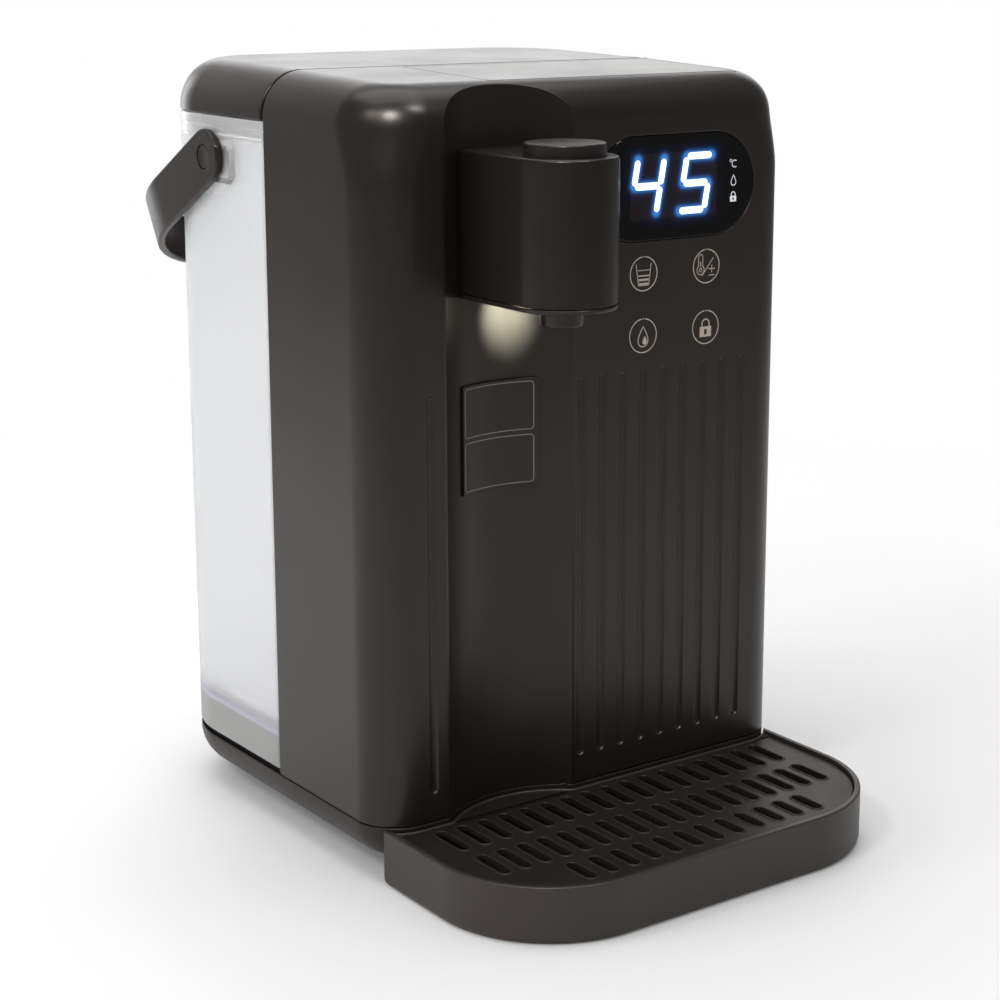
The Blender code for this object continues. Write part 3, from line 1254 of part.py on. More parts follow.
def dock():
    """The socket that the tank's valve drops into, with the pin that opens it."""
    place = (0, DOCK_Y, 0)
    flange_low = DECK_TOP_Z + SEAT_GAP
    flange_top = flange_low + DOCK_FLANGE_THICKNESS
    cup_outer = DOCK_CUP_RADIUS + DOCK_CUP_WALL
    chamber_outer = DOCK_CHAMBER_RADIUS + DOCK_CHAMBER_WALL
    chamber_floor = DOCK_CHAMBER_LOW_Z + DOCK_CHAMBER_WALL
    cup_floor = flange_low
    socket = turned(
        "dock_socket",
        [
            (DOCK_CUP_RADIUS, DOCK_CUP_TOP_Z), (cup_outer, DOCK_CUP_TOP_Z), (cup_outer, flange_top),
            (DOCK_FLANGE_RADIUS, flange_top), (DOCK_FLANGE_RADIUS, flange_low), (chamber_outer, flange_low),
            (chamber_outer, DOCK_CHAMBER_LOW_Z), (0, DOCK_CHAMBER_LOW_Z), (0, chamber_floor),
            (DOCK_CHAMBER_RADIUS, chamber_floor), (DOCK_CHAMBER_RADIUS, cup_floor),
            (DOCK_CUP_RADIUS, cup_floor + DOCK_FLANGE_THICKNESS / 2),
        ],
        BLACK_PLASTIC, place, steps=MIDDLE_STEPS, closed=True,
    )
    barb = turned_to(cylinder(DOCK_BARB_RADIUS, DOCK_CHAMBER_RADIUS + DOCK_CHAMBER_WALL / 2, DOCK_BARB_REACH), (0, -1, 0))
    join(socket, helper("dock_barb", moved(barb, (0, DOCK_Y, DOCK_BARB_Z))))
    bore = turned_to(cylinder(DOCK_BARB_BORE_RADIUS, DOCK_CHAMBER_RADIUS / 2, DOCK_BARB_REACH + OVERRUN), (0, -1, 0))
    cut(socket, helper("dock_barb_bore", moved(bore, (0, DOCK_Y, DOCK_BARB_Z))))
    bar_half = DOCK_CHAMBER_RADIUS + DOCK_CHAMBER_WALL / 2
    bar = block(
        (-bar_half, DOCK_Y - DOCK_BAR_WIDTH / 2, DOCK_FLOOR_Z - DOCK_BAR_WIDTH),
        (bar_half, DOCK_Y + DOCK_BAR_WIDTH / 2, DOCK_FLOOR_Z),
    )
    pin_top = VALVE_TUBE_LOW_Z + SEAT_GAP
    pin = moved(cylinder(DOCK_PIN_RADIUS, DOCK_FLOOR_Z - DOCK_BAR_WIDTH / 2, pin_top, SLOT_STEPS), place)
    join(socket, helper("dock_bar", bar), helper("dock_pin", pin))
    inner = VALVE_TUBE_RADIUS + SEAT_GAP
    outer = DOCK_CUP_RADIUS - SEAT_GAP
    seal_low = VALVE_TUBE_LOW_Z
    seal_top = seal_low + DOCK_SEAL_HEIGHT
    turned(
        "dock_seal",
        [(inner, seal_top), (outer, seal_top), (outer, seal_low), (inner, seal_low)],
        RUBBER, place, steps=MIDDLE_STEPS, closed=True,
    )


# Tank, lid, valve and bail

def tank_plan(inset, low_z, high_z):
    ys = (TANK_FRONT_Y + inset, REAR_Y - inset)
    return plan_form(HALF_WIDTH - inset, ys, (low_z, high_z), rear_radius=REAR_RADIUS - inset)


def tank():
    vessel = add("water_tank", tank_plan(0, TANK_LOW_Z, TANK_TOP_Z), CLEAR_PLASTIC)
    floor_top = TANK_FLOOR_Z + TANK_FLOOR_THICKNESS
    cut(vessel, helper("tank_hollow", tank_plan(TANK_WALL, floor_top, TANK_TOP_Z + OVERRUN)))
    cut(vessel, helper("tank_underside", tank_plan(TANK_WALL, TANK_LOW_Z - OVERRUN, TANK_FLOOR_Z)))
    bosses = []
    bores = []
    for side in (-1, 1):
        start = HALF_WIDTH - TANK_WALL / 2
        boss = turned_to(cylinder(BOSS_RADIUS, -start, -(HALF_WIDTH - BOSS_DEPTH)), (1, 0, 0))
        bore_depth = BOSS_DEPTH - TANK_WALL
        bore = turned_to(cylinder(PIN_RADIUS + PIN_PLAY, -(HALF_WIDTH + OVERRUN), -(HALF_WIDTH - bore_depth)), (1, 0, 0))
        for form, kept in ((boss, bosses), (bore, bores)):
            if side > 0:
                bmesh.ops.rotate(form, cent=(0, 0, 0), matrix=Matrix.Rotation(math.pi, 3, "Z"), verts=form.verts)
            kept.append(moved(form, (0, PIVOT_Y, BAIL_PIVOT_Z)))
    join(vessel, helper("pivot_bosses", merged(bosses)))
    cut(vessel, helper("pivot_bores", merged(bores)))
    valve_hole = moved(
        cylinder(VALVE_TUBE_RADIUS + SEAT_GAP, TANK_FLOOR_Z - OVERRUN, floor_top + OVERRUN, MIDDLE_STEPS),
        (0, DOCK_Y, 0),
    )
    cut(vessel, helper("valve_hole", valve_hole))


def lid():
    high_z = SHELL_TOP_Z
    form = tank_plan(0, LID_LOW_Z, high_z)
    round_edges(form, rim_at(high_z, open_y=TANK_FRONT_Y), TOP_EDGE_RADIUS, EDGE_STEPS)
    rise = LID_TOP_RISE / (REAR_Y - TANK_FRONT_Y)
    tilt_top(form, high_z - TOP_EDGE_RADIUS, high_z, lambda y: (y - TANK_FRONT_Y) * rise)
    cover = add("tank_lid", form, DARK_PLASTIC)
    skirt_low = LID_LOW_Z - SKIRT_DEPTH
    join(cover, helper("lid_skirt", tank_plan(SKIRT_INSET, skirt_low, LID_LOW_Z + OVERRUN)))
    roof = high_z - LID_WALL / 2
    inset = LID_WALL
    hollow_form = tank_plan(inset, skirt_low - OVERRUN, roof)
    round_edges(hollow_form, rim_at(roof, open_y=TANK_FRONT_Y + inset), TOP_EDGE_RADIUS - inset, EDGE_STEPS)
    cut(cover, helper("lid_hollow", hollow_form))

    seal_low = skirt_low + LID_SEAL_RISE
    seal_high = seal_low + LID_SEAL_HEIGHT
    groove_depth = SKIRT_INSET + LID_SEAL_GROOVE
    groove = helper("seal_groove", tank_plan(0, seal_low - SEAT_GAP, seal_high + SEAT_GAP))
    cut(groove, helper("seal_groove_core", tank_plan(groove_depth, skirt_low, high_z)))
    cut(cover, groove)
    seal = add("lid_seal", tank_plan(LID_SEAL_INSET, seal_low, seal_high), RUBBER)
    cut(seal, helper("lid_seal_bore", tank_plan(groove_depth - SEAT_GAP, skirt_low, high_z)))


def valve():
    """The tank's outlet valve: its body in the tank's floor, a plunger, its seal and its spring."""
    place = (0, DOCK_Y, 0)
    floor_top = TANK_FLOOR_Z + TANK_FLOOR_THICKNESS
    flange_low = floor_top + SEAT_GAP
    flange_top = flange_low + VALVE_FLANGE_THICKNESS
    body = turned(
        "valve_body",
        [
            (VALVE_BORE_RADIUS, flange_top), (VALVE_FLANGE_RADIUS, flange_top), (VALVE_FLANGE_RADIUS, flange_low),
            (VALVE_TUBE_RADIUS, flange_low), (VALVE_TUBE_RADIUS, VALVE_TUBE_LOW_Z),
            (VALVE_BORE_RADIUS, VALVE_TUBE_LOW_Z),
        ],
        WHITE_PLASTIC, place, steps=MIDDLE_STEPS, closed=True,
    )
    bar_half = (VALVE_BORE_RADIUS + VALVE_TUBE_RADIUS) / 2
    bar = block(
        (-bar_half, DOCK_Y - VALVE_BAR_WIDTH, VALVE_BAR_Z),
        (bar_half, DOCK_Y + VALVE_BAR_WIDTH, VALVE_BAR_Z + VALVE_BAR_HEIGHT),
    )
    guide = moved(
        cylinder(STEM_RADIUS + SEAT_GAP, VALVE_BAR_Z - OVERRUN, VALVE_BAR_Z + VALVE_BAR_HEIGHT + OVERRUN, SLOT_STEPS),
        place,
    )
    join(body, helper("valve_bar", bar))
    cut(body, helper("stem_guide", guide))

    head_low = flange_top + VALVE_SEAL_THICKNESS + SEAT_GAP
    head_top = head_low + PLUNGER_HEAD_THICKNESS
    low = DOCK_CUP_TOP_Z + SEAT_GAP
    shoulder_top = low + STEM_SHOULDER_THICKNESS
    neck = VALVE_SEAL_BORE_RADIUS - SEAT_GAP
    neck_low = head_low - VALVE_SEAL_THICKNESS - SEAT_GAP / 2
    turned(
        "valve_plunger",
        [
            (0, head_top), (PLUNGER_HEAD_RADIUS, head_top), (PLUNGER_HEAD_RADIUS, head_low), (neck, head_low),
            (neck * PLUNGER_TAPER_SHARE, neck_low), (STEM_RADIUS, neck_low), (STEM_RADIUS, shoulder_top),
            (STEM_SHOULDER_RADIUS, shoulder_top), (STEM_SHOULDER_RADIUS, low), (0, low),
        ],
        WHITE_PLASTIC, place,
    )
    seal_top = head_low - SEAT_GAP / 2
    turned(
        "valve_seal",
        [
            (VALVE_SEAL_BORE_RADIUS, seal_top), (VALVE_SEAL_RADIUS, seal_top),
            (VALVE_SEAL_RADIUS, seal_top - VALVE_SEAL_THICKNESS + SEAT_GAP / 2),
            (VALVE_SEAL_BORE_RADIUS, seal_top - VALVE_SEAL_THICKNESS + SEAT_GAP / 2),
        ],
        RUBBER, place, closed=True,
    )
    coil(
        "valve_spring", place, VALVE_SPRING_RADIUS, VALVE_SPRING_WIRE, VALVE_SPRING_TURNS,
        shoulder_top + SEAT_GAP, VALVE_BAR_Z - SEAT_GAP, STEEL,
    )


def bail():
    """The carrying bail, a flat band bent to a U, in its own frame: Y along its arms, Z across the band."""
    half_band = BAIL_WIDTH / 2
    form = block((-BAIL_HALF, -half_band, -half_band), (BAIL_HALF, BAIL_LENGTH, half_band))
    round_edges(form, upright_at(BAIL_LENGTH), BAIL_CORNER_RADIUS, BIG_STEPS)
    round_edges(
        form,
        lambda a, b: abs(a.x - b.x) > TINY and max(a.y, b.y) < -half_band + TINY,
        half_band - SEAT_GAP, EDGE_STEPS,
    )
    inner = block(
        (-BAIL_HALF + BAIL_THICKNESS, -BAIL_WIDTH, -BAIL_WIDTH),
        (BAIL_HALF - BAIL_THICKNESS, BAIL_LENGTH - BAIL_THICKNESS, BAIL_WIDTH),
    )
    round_edges(inner, upright_at(BAIL_LENGTH - BAIL_THICKNESS), BAIL_CORNER_RADIUS - BAIL_THICKNESS, BIG_STEPS)
    place = (0, PIVOT_Y, BAIL_PIVOT_Z)
    band = add("tank_bail", form, DARK_PLASTIC, place)
    gap = helper("bail_gap", inner, place)
    bores = []
    recesses = []
    head_x = BAIL_HALF - PIN_HEAD_THICKNESS - SEAT_GAP
    for side in (-1, 1):
        bores.append(turned_to(cylinder(PIN_RADIUS + SEAT_GAP, HALF_WIDTH, BAIL_HALF + OVERRUN), (side, 0, 0)))
        recesses.append(turned_to(cylinder(PIN_HEAD_RADIUS + SEAT_GAP, head_x, BAIL_HALF + OVERRUN), (side, 0, 0)))
    bore = helper("bail_bores", merged(bores), place)
    recess = helper("bail_recesses", merged(recesses), place)
    for obj in (band, gap, bore, recess):
        obj.rotation_euler = (-BAIL_ANGLE, 0, 0)
    cut(band, gap, bore, recess)
    pin_low = -(BOSS_DEPTH - TANK_WALL) + PIN_PLAY
    top = BAIL_HALF - HALF_WIDTH - SEAT_GAP
    for side, name in ((-1, "left"), (1, "right")):
        turned(
            f"bail_pin_{name}",
            [
                (0, top), (PIN_HEAD_RADIUS, top), (PIN_HEAD_RADIUS, top - PIN_HEAD_THICKNESS),
                (PIN_RADIUS, top - PIN_HEAD_THICKNESS), (PIN_RADIUS, pin_low), (0, pin_low),
            ],
            DARK_PLASTIC, (side * HALF_WIDTH, PIVOT_Y, BAIL_PIVOT_Z), axis=(side, 0, 0),
        )


# Drip tray and grille

def base_keepout(gap, low_z, high_z):
    """The base's outline grown by a gap, with its channel, as one cutter."""
    name = f"keepout_{round(gap / SEAT_GAP)}_{round(high_z / SEAT_GAP)}"
    solid = helper(name, base_plan(-gap, low_z, high_z))
    cut(solid, helper(name + "_channel", channel_form(-gap, low_z - OVERRUN, high_z + OVERRUN)))
    return solid


def tray_form(inset, low_z, high_z, rear_y):
    ys = (FACE_Y - TRAY_REACH + inset, rear_y)
    half = TRAY_HALF_WIDTH - inset
    return plan_form(half, ys, (low_z, high_z), front_radius=TRAY_CORNER_RADIUS - inset)


def tray():
    rear_y = FACE_Y + TRAY_REAR_FROM_FACE
    form = tray_form(0, 0, TRAY_HEIGHT, rear_y)
    round_edges(form, rim_at(0, open_y=rear_y), TRAY_EDGE_RADIUS, SMALL_STEPS)
    pan = add("drip_tray", form, TRAY_PLASTIC)
    ledge_z = GRILLE_TOP_Z - GRILLE_THICKNESS - SEAT_GAP
    rear_wall = helper("tray_hollow_wall", base_plan(-SLIDE_GAP - TRAY_WALL, -OVERRUN, TRAY_HEIGHT + OVERRUN))
    lower = helper("tray_hollow", tray_form(TRAY_WALL + LEDGE_WIDTH, TRAY_FLOOR, ledge_z + OVERRUN, rear_y + OVERRUN))
    cut(lower, rear_wall)
    seat_rear = GRILLE_REAR_Y + GRILLE_GAP
    seat = helper("grille_seat", tray_form(TRAY_WALL, ledge_z, TRAY_HEIGHT + OVERRUN, seat_rear))
    shelf = helper("rear_shelf", tray_form(TRAY_WALL, GRILLE_TOP_Z, TRAY_HEIGHT + OVERRUN, rear_y + OVERRUN))
    cut(pan, base_keepout(SLIDE_GAP, -OVERRUN, TRAY_HEIGHT + OVERRUN), lower, seat, shelf)
    tongue = block(
        (-TONGUE_HALF_WIDTH, FACE_Y - SLIDE_GAP - TRAY_WALL / 2, TONGUE_LOW_Z),
        (TONGUE_HALF_WIDTH, FACE_Y + TONGUE_LENGTH, TONGUE_LOW_Z + TONGUE_THICKNESS),
    )
    join(pan, helper("tray_tongue", tongue))

    low_z = GRILLE_TOP_Z - GRILLE_THICKNESS
    inset = TRAY_WALL + GRILLE_GAP
    grille = add("drip_grille", tray_form(inset, low_z, GRILLE_TOP_Z, GRILLE_REAR_Y), GRILLE_PLASTIC)
    slots = []
    for from_face, length, count, pitch in SLOT_ROWS:
        for i in range(count):
            x = (i - (count - 1) / 2) * pitch
            slot = stadium(length, SLOT_WIDTH, low_z - OVERRUN, GRILLE_TOP_Z + OVERRUN)
            slots.append(moved(slot, (x, FACE_Y - from_face, 0)))
    cut(grille, helper("grille_slots", merged(slots)))


clear_scene()
PARTS = collection("water_dispenser")
CUTTERS = collection("cutters")
DARK_PLASTIC = material("dark_plastic", (0.045, 0.038, 0.034), 0.38)
TRAY_PLASTIC = material("tray_plastic", (0.060, 0.050, 0.045), 0.40)
GRILLE_PLASTIC = material("grille_plastic", (0.035, 0.028, 0.025), 0.42)
BLACK_PLASTIC = material("black_plastic", (0.015, 0.015, 0.016), 0.45)
WHITE_PLASTIC = material("white_plastic", (0.75, 0.75, 0.73), 0.40)
CLEAR_PLASTIC = material("clear_plastic", (0.82, 0.84, 0.86), 0.25, alpha=0.45)
BLACK_GLASS = material("black_glass", (0.006, 0.006, 0.007), 0.06)
LAMP_CLEAR = material("lamp_clear", (1.0, 0.90, 0.70), 0.20)
BOARD_GREEN = material("board_green", (0.020, 0.140, 0.060), 0.45)
STEEL = material("steel", (0.60, 0.60, 0.60), 0.30, metallic=1.0)
RUBBER = material("rubber", (0.020, 0.020, 0.020), 0.80)
CLEAR_RUBBER = material("clear_rubber", (0.80, 0.80, 0.78), 0.45)

front_housing()
channel_plate()
bulkhead()
spout()
spout_button()
boards()
heater()
pump()
hoses()
base()
deck()
dock()
tank()
lid()
valve()
bail()
tray()
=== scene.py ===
import json
import math

import bmesh
import bpy
from mathutils import Matrix, Vector
from mathutils.bvhtree import BVHTree

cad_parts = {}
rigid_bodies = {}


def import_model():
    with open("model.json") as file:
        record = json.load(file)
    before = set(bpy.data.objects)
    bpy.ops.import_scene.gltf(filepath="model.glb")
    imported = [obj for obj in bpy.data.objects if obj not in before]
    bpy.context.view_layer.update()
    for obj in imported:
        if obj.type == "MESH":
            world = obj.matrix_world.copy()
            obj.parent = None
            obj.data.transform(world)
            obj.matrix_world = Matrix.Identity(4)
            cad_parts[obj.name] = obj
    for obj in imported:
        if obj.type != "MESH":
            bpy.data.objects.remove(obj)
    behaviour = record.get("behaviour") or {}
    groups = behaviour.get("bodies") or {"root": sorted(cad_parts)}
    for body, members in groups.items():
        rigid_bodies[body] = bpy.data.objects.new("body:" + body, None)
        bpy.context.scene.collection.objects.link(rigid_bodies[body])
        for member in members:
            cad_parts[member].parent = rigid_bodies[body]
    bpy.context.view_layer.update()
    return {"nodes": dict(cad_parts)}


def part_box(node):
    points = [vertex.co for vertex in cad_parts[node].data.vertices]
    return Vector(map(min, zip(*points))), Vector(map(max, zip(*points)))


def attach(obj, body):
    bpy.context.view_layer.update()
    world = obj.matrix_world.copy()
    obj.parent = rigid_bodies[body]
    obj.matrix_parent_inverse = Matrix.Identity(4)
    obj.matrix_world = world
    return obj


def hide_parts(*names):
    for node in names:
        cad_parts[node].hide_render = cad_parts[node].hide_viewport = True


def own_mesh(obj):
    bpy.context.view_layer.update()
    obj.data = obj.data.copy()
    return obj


# A countertop instant hot water dispenser: a dark housing with a spout and touch display,
# a frosted lift-off tank with a lid and carrying bail behind it, and a drip tray in front.
for leftover in list(bpy.data.objects):
    bpy.data.objects.remove(leftover)
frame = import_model()


# ---- Studio ------------------------------------------------------------------------------
# A product table with a pale top that runs out to white, lit by soft boxes at the left and above.
# The camera stands left of the appliance, a little above it, as a catalogue photographer's does.
TABLE_REACH = 7.0
TABLE_TONE = 0.93
BACKDROP_START = 0.20
BACKDROP_END = 0.80
MIRRORED_START = 0.65
MIRRORED_END = 1.75
BRIGHT_END = (0.34, 0.94, 0)
DIM_TONE = 0.16
DIM_HEADING = 0.6
BRIGHT_HEADING = 0.9

table_form = bmesh.new()
bmesh.ops.create_circle(table_form, cap_ends=True, segments=96, radius=TABLE_REACH)
table_mesh = bpy.data.meshes.new("table_top")
table_form.to_mesh(table_mesh)
table_form.free()
table_top = bpy.data.objects.new("table_top", table_mesh)
bpy.context.scene.collection.objects.link(table_top)


def material_nodes(name, plain=None):
    """A new material, its node tree and its Principled shader, whose plain values are set by socket."""
    made = bpy.data.materials.new(name)
    made.use_nodes = True
    shader = made.node_tree.nodes["Principled BSDF"]
    for label, value in (plain or {}).items():
        shader.inputs[label].default_value = value
    return made, made.node_tree, shader


def put(tree, kind, **settings):
    """Adds a node to a tree. Settings that are sockets set their values, others the node's own options."""
    made = tree.nodes.new(kind)
    for key, value in settings.items():
        label = key.replace("_", " ").title()
        if label in made.inputs:
            made.inputs[label].default_value = value
        else:
            setattr(made, key, value)
    return made


def soft_range(tree, from_min, from_max, to_min=0.0, to_max=1.0):
    """A value that goes smoothly from one number to another as its input does."""
    return put(
        tree, "ShaderNodeMapRange", interpolation_type="SMOOTHSTEP",
        from_min=from_min, from_max=from_max, to_min=to_min, to_max=to_max,
    )


def seen_by_lens(tree):
    """One for camera, mirror and see-through rays, and nought for light that falls on the object."""
    path = put(tree, "ShaderNodeLightPath")
    first = put(tree, "ShaderNodeMath", operation="MAXIMUM")
    second = put(tree, "ShaderNodeMath", operation="MAXIMUM")
    tree.links.new(path.outputs["Is Camera Ray"], first.inputs[0])
    tree.links.new(path.outputs["Is Glossy Ray"], first.inputs[1])
    tree.links.new(first.outputs[0], second.inputs[0])
    tree.links.new(path.outputs["Is Transmission Ray"], second.inputs[1])
    return second.outputs[0]


table_paint, tree, shader = material_nodes("table paint", {
    "Base Color": (TABLE_TONE, TABLE_TONE, TABLE_TONE, 1), "Roughness": 0.7, "Specular IOR Level": 0.1,
})
spot = put(tree, "ShaderNodeNewGeometry")
distance = put(tree, "ShaderNodeVectorMath", operation="LENGTH")
fade = put(tree, "ShaderNodeMapRange", interpolation_type="SMOOTHSTEP")
fade_start = put(tree, "ShaderNodeMix", data_type="FLOAT")
fade_start.inputs[2].default_value = BACKDROP_START
fade_start.inputs[3].default_value = MIRRORED_START
fade_end = put(tree, "ShaderNodeMix", data_type="FLOAT")
fade_end.inputs[2].default_value = BACKDROP_END
fade_end.inputs[3].default_value = MIRRORED_END
path = put(tree, "ShaderNodeLightPath")
for end, label in ((fade_start, "From Min"), (fade_end, "From Max")):
    tree.links.new(path.outputs["Is Glossy Ray"], end.inputs[0])
    tree.links.new(end.outputs[0], fade.inputs[label])
share = put(tree, "ShaderNodeMath", operation="MULTIPLY")
white = put(tree, "ShaderNodeEmission")
bearing = put(tree, "ShaderNodeVectorMath", operation="DOT_PRODUCT")
bearing.inputs[1].default_value = BRIGHT_END
ahead_of_it = put(tree, "ShaderNodeMath", operation="DIVIDE")
depth = soft_range(tree, DIM_HEADING, BRIGHT_HEADING, DIM_TONE)
far_tone = put(tree, "ShaderNodeMix", data_type="FLOAT")
far_tone.inputs[2].default_value = 1.0
tree.links.new(spot.outputs["Position"], bearing.inputs[0])
tree.links.new(bearing.outputs["Value"], ahead_of_it.inputs[0])
tree.links.new(distance.outputs["Value"], ahead_of_it.inputs[1])
tree.links.new(ahead_of_it.outputs[0], depth.inputs["Value"])
tree.links.new(path.outputs["Is Glossy Ray"], far_tone.inputs[0])
tree.links.new(depth.outputs["Result"], far_tone.inputs[3])
tree.links.new(far_tone.outputs[0], white.inputs["Strength"])
blend = put(tree, "ShaderNodeMixShader")
tree.links.new(spot.outputs["Position"], distance.inputs[0])
tree.links.new(distance.outputs["Value"], fade.inputs["Value"])
tree.links.new(fade.outputs["Result"], share.inputs[0])
tree.links.new(seen_by_lens(tree), share.inputs[1])
tree.links.new(share.outputs[0], blend.inputs["Fac"])
tree.links.new(shader.outputs["BSDF"], blend.inputs[1])
tree.links.new(white.outputs["Emission"], blend.inputs[2])
tree.links.new(blend.outputs["Shader"], tree.nodes["Material Output"].inputs["Surface"])
table_mesh.materials.append(table_paint)

# The room is white behind the appliance's right side and dim in front, where the photographer stands
room = bpy.data.worlds.new("studio room")
room.use_nodes = True
bpy.context.scene.world = room
room_tree = room.node_tree
dim = room_tree.nodes["Background"]
dim.inputs["Color"].default_value = (0.55, 0.55, 0.55, 1)
bright = put(room_tree, "ShaderNodeBackground")
bright.inputs["Color"].default_value = (1, 1, 1, 1)
mirrored = put(room_tree, "ShaderNodeBackground")
heading = put(room_tree, "ShaderNodeTexCoord")
bearing = put(room_tree, "ShaderNodeVectorMath", operation="DOT_PRODUCT")
bearing.inputs[1].default_value = BRIGHT_END
depth = soft_range(room_tree, DIM_HEADING, BRIGHT_HEADING, DIM_TONE)
room_tree.links.new(heading.outputs["Generated"], bearing.inputs[0])
room_tree.links.new(bearing.outputs["Value"], depth.inputs["Value"])
room_tree.links.new(depth.outputs["Result"], mirrored.inputs["Color"])
room_path = put(room_tree, "ShaderNodeLightPath")
mirror_blend = put(room_tree, "ShaderNodeMixShader")
room_tree.links.new(room_path.outputs["Is Glossy Ray"], mirror_blend.inputs["Fac"])
room_tree.links.new(dim.outputs["Background"], mirror_blend.inputs[1])
room_tree.links.new(mirrored.outputs["Background"], mirror_blend.inputs[2])
seen = put(room_tree, "ShaderNodeMath", operation="MAXIMUM")
room_tree.links.new(room_path.outputs["Is Camera Ray"], seen.inputs[0])
room_tree.links.new(room_path.outputs["Is Transmission Ray"], seen.inputs[1])
room_blend = put(room_tree, "ShaderNodeMixShader")
room_tree.links.new(seen.outputs[0], room_blend.inputs["Fac"])
room_tree.links.new(mirror_blend.outputs["Shader"], room_blend.inputs[1])
room_tree.links.new(bright.outputs["Background"], room_blend.inputs[2])
room_tree.links.new(room_blend.outputs["Shader"], room_tree.nodes["World Output"].inputs["Surface"])


def soft_box(name, place, target, size, power):
    """A rectangular lamp that faces a point of the object."""
    lamp = bpy.data.lights.new(name, "AREA")
    lamp.shape = "RECTANGLE"
    lamp.size, lamp.size_y = size
    lamp.energy = power
    stand = bpy.data.objects.new(name, lamp)
    stand.location = place
    stand.rotation_euler = (Vector(target) - Vector(place)).to_track_quat("-Z", "Y").to_euler()
    stand.visible_camera = False
    bpy.context.scene.collection.objects.link(stand)
    return stand


# The left box isn't mirrored; the boxes in the loop below only shine on the finish
left_box = soft_box("left_box", (-1.6, 0.5, 0.55), (0, 0.03, 0.12), (0.8, 1.0), 10.5)
left_box.visible_glossy = False
soft_box("top_box", (0.1, 0.3, 1.7), (0, 0, 0.15), (1.6, 1.3), 14)
soft_box("rear_box", (1.3, 1.75, 0.85), (0, 0, 0.25), (1.6, 0.8), 4.6)
soft_box("key_box", (-1.25, -0.35, 1.35), (-0.05, 0, 0.2), (0.35, 0.35), 5)
for name, place, size, power in (
    ("corner_box", (-0.84, -0.97, 1.40), (0.30, 0.30), 26),
    ("brow_box", (0.33, -0.95, 1.81), (0.26, 0.26), 11),
    ("rear_strip", (-0.12, 1.7, 0.30), (0.4, 1.0), 3),
):
    highlight = soft_box(name, place, (-0.08, -0.06, 0.30), size, power)
    highlight.visible_diffuse = False
    highlight.visible_transmission = False

CAMERA_PLACE = (-0.516298, -0.736979, 0.356807)
CAMERA_YAW = math.radians(36.505)
CAMERA_PITCH = math.radians(12.677)
CAMERA_ROLL = math.radians(-0.152)
CAMERA_LENS = 78.97
CAMERA_SHIFT = (-0.06, -0.06)

across = Vector((math.cos(CAMERA_YAW), -math.sin(CAMERA_YAW), 0))
ahead = Vector((
    math.sin(CAMERA_YAW) * math.cos(CAMERA_PITCH), math.cos(CAMERA_YAW) * math.cos(CAMERA_PITCH),
    -math.sin(CAMERA_PITCH),
))
down = ahead.cross(across)
side = across * math.cos(CAMERA_ROLL) + down * math.sin(CAMERA_ROLL)
up = across * math.sin(CAMERA_ROLL) - down * math.cos(CAMERA_ROLL)
lens = bpy.data.cameras.new("catalogue_camera")
lens.sensor_width = 36
lens.lens = CAMERA_LENS
lens.shift_x, lens.shift_y = CAMERA_SHIFT
lens.clip_start = 0.01
camera = bpy.data.objects.new("catalogue_camera", lens)
camera.matrix_world = Matrix((
    (side.x, up.x, -ahead.x, CAMERA_PLACE[0]),
    (side.y, up.y, -ahead.y, CAMERA_PLACE[1]),
    (side.z, up.z, -ahead.z, CAMERA_PLACE[2]),
    (0, 0, 0, 1),
))
bpy.context.scene.collection.objects.link(camera)
bpy.context.scene.camera = camera
bpy.context.scene.view_settings.view_transform = "Standard"


# ---- Front housing -----------------------------------------------------------------------
# One injection moulding in dark brown ABS with a fine satin grain. A round-backed channel with
# soft lips runs up its face, flutes flank it, and it is open at the rear, where the tank stands.
shell_low, shell_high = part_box("front_shell")
FACE_Y = shell_low.y
SEAM_Y = shell_high.y
SHELL_LOW_Z = shell_low.z
SHELL_TOP_Z = shell_high.z
HALF_WIDTH = shell_high.x
SHELL_DEPTH = SEAM_Y - FACE_Y
WALL = 0.0025
FRONT_CORNER = 0.0184
TOP_ROUND = 0.018
TOP_FALL = 0.003
CROWN_START_Z = SHELL_TOP_Z - 0.042
CROWN_RUN = 0.030
CROWN_GROWTH = 0.0080
CHANNEL_X = -0.041
CHANNEL_RADIUS = 0.045
CHANNEL_DEPTH = 0.0113
CHANNEL_LIP = 0.003
CHANNEL_Y = FACE_Y + CHANNEL_DEPTH - CHANNEL_RADIUS
FLUTE_WIDTH = 0.0034
FLUTE_DEPTH = 0.0010
FLUTE_LOW_Z = 0.0352
FLUTE_HIGH_Z = SHELL_TOP_Z - 0.1174
FLUTE_XS = [-0.0070 + 0.0103 * i for i in range(9)] + [-0.0778]
WINDOW_X = 0.039
WINDOW_Z = 0.264
WINDOW_LENGTH = 0.082
WINDOW_HEIGHT = 0.0414
PANEL_X = (-0.040, 0.083)
PANEL_Y = (FACE_Y + 0.0155, SEAM_Y - 0.004)
PANEL_THICKNESS = 0.0015
WINDOW_LEDGE = 0.002
# How far a cutter reaches past what it cuts, and a joined piece into what it joins
PAST = 0.004


def shader_group(name, inputs, outputs):
    """A node group for an effect. Inputs are (name, value), outputs are (name, kind)."""
    made = bpy.data.node_groups.new(name, "ShaderNodeTree")
    for label, value in inputs:
        kind = "NodeSocketFloat" if isinstance(value, (int, float)) else "NodeSocketColor"
        made.interface.new_socket(label, in_out="INPUT", socket_type=kind).default_value = value
    for label, kind in outputs:
        made.interface.new_socket(label, in_out="OUTPUT", socket_type=kind)
    return made, put(made, "NodeGroupInput"), put(made, "NodeGroupOutput")


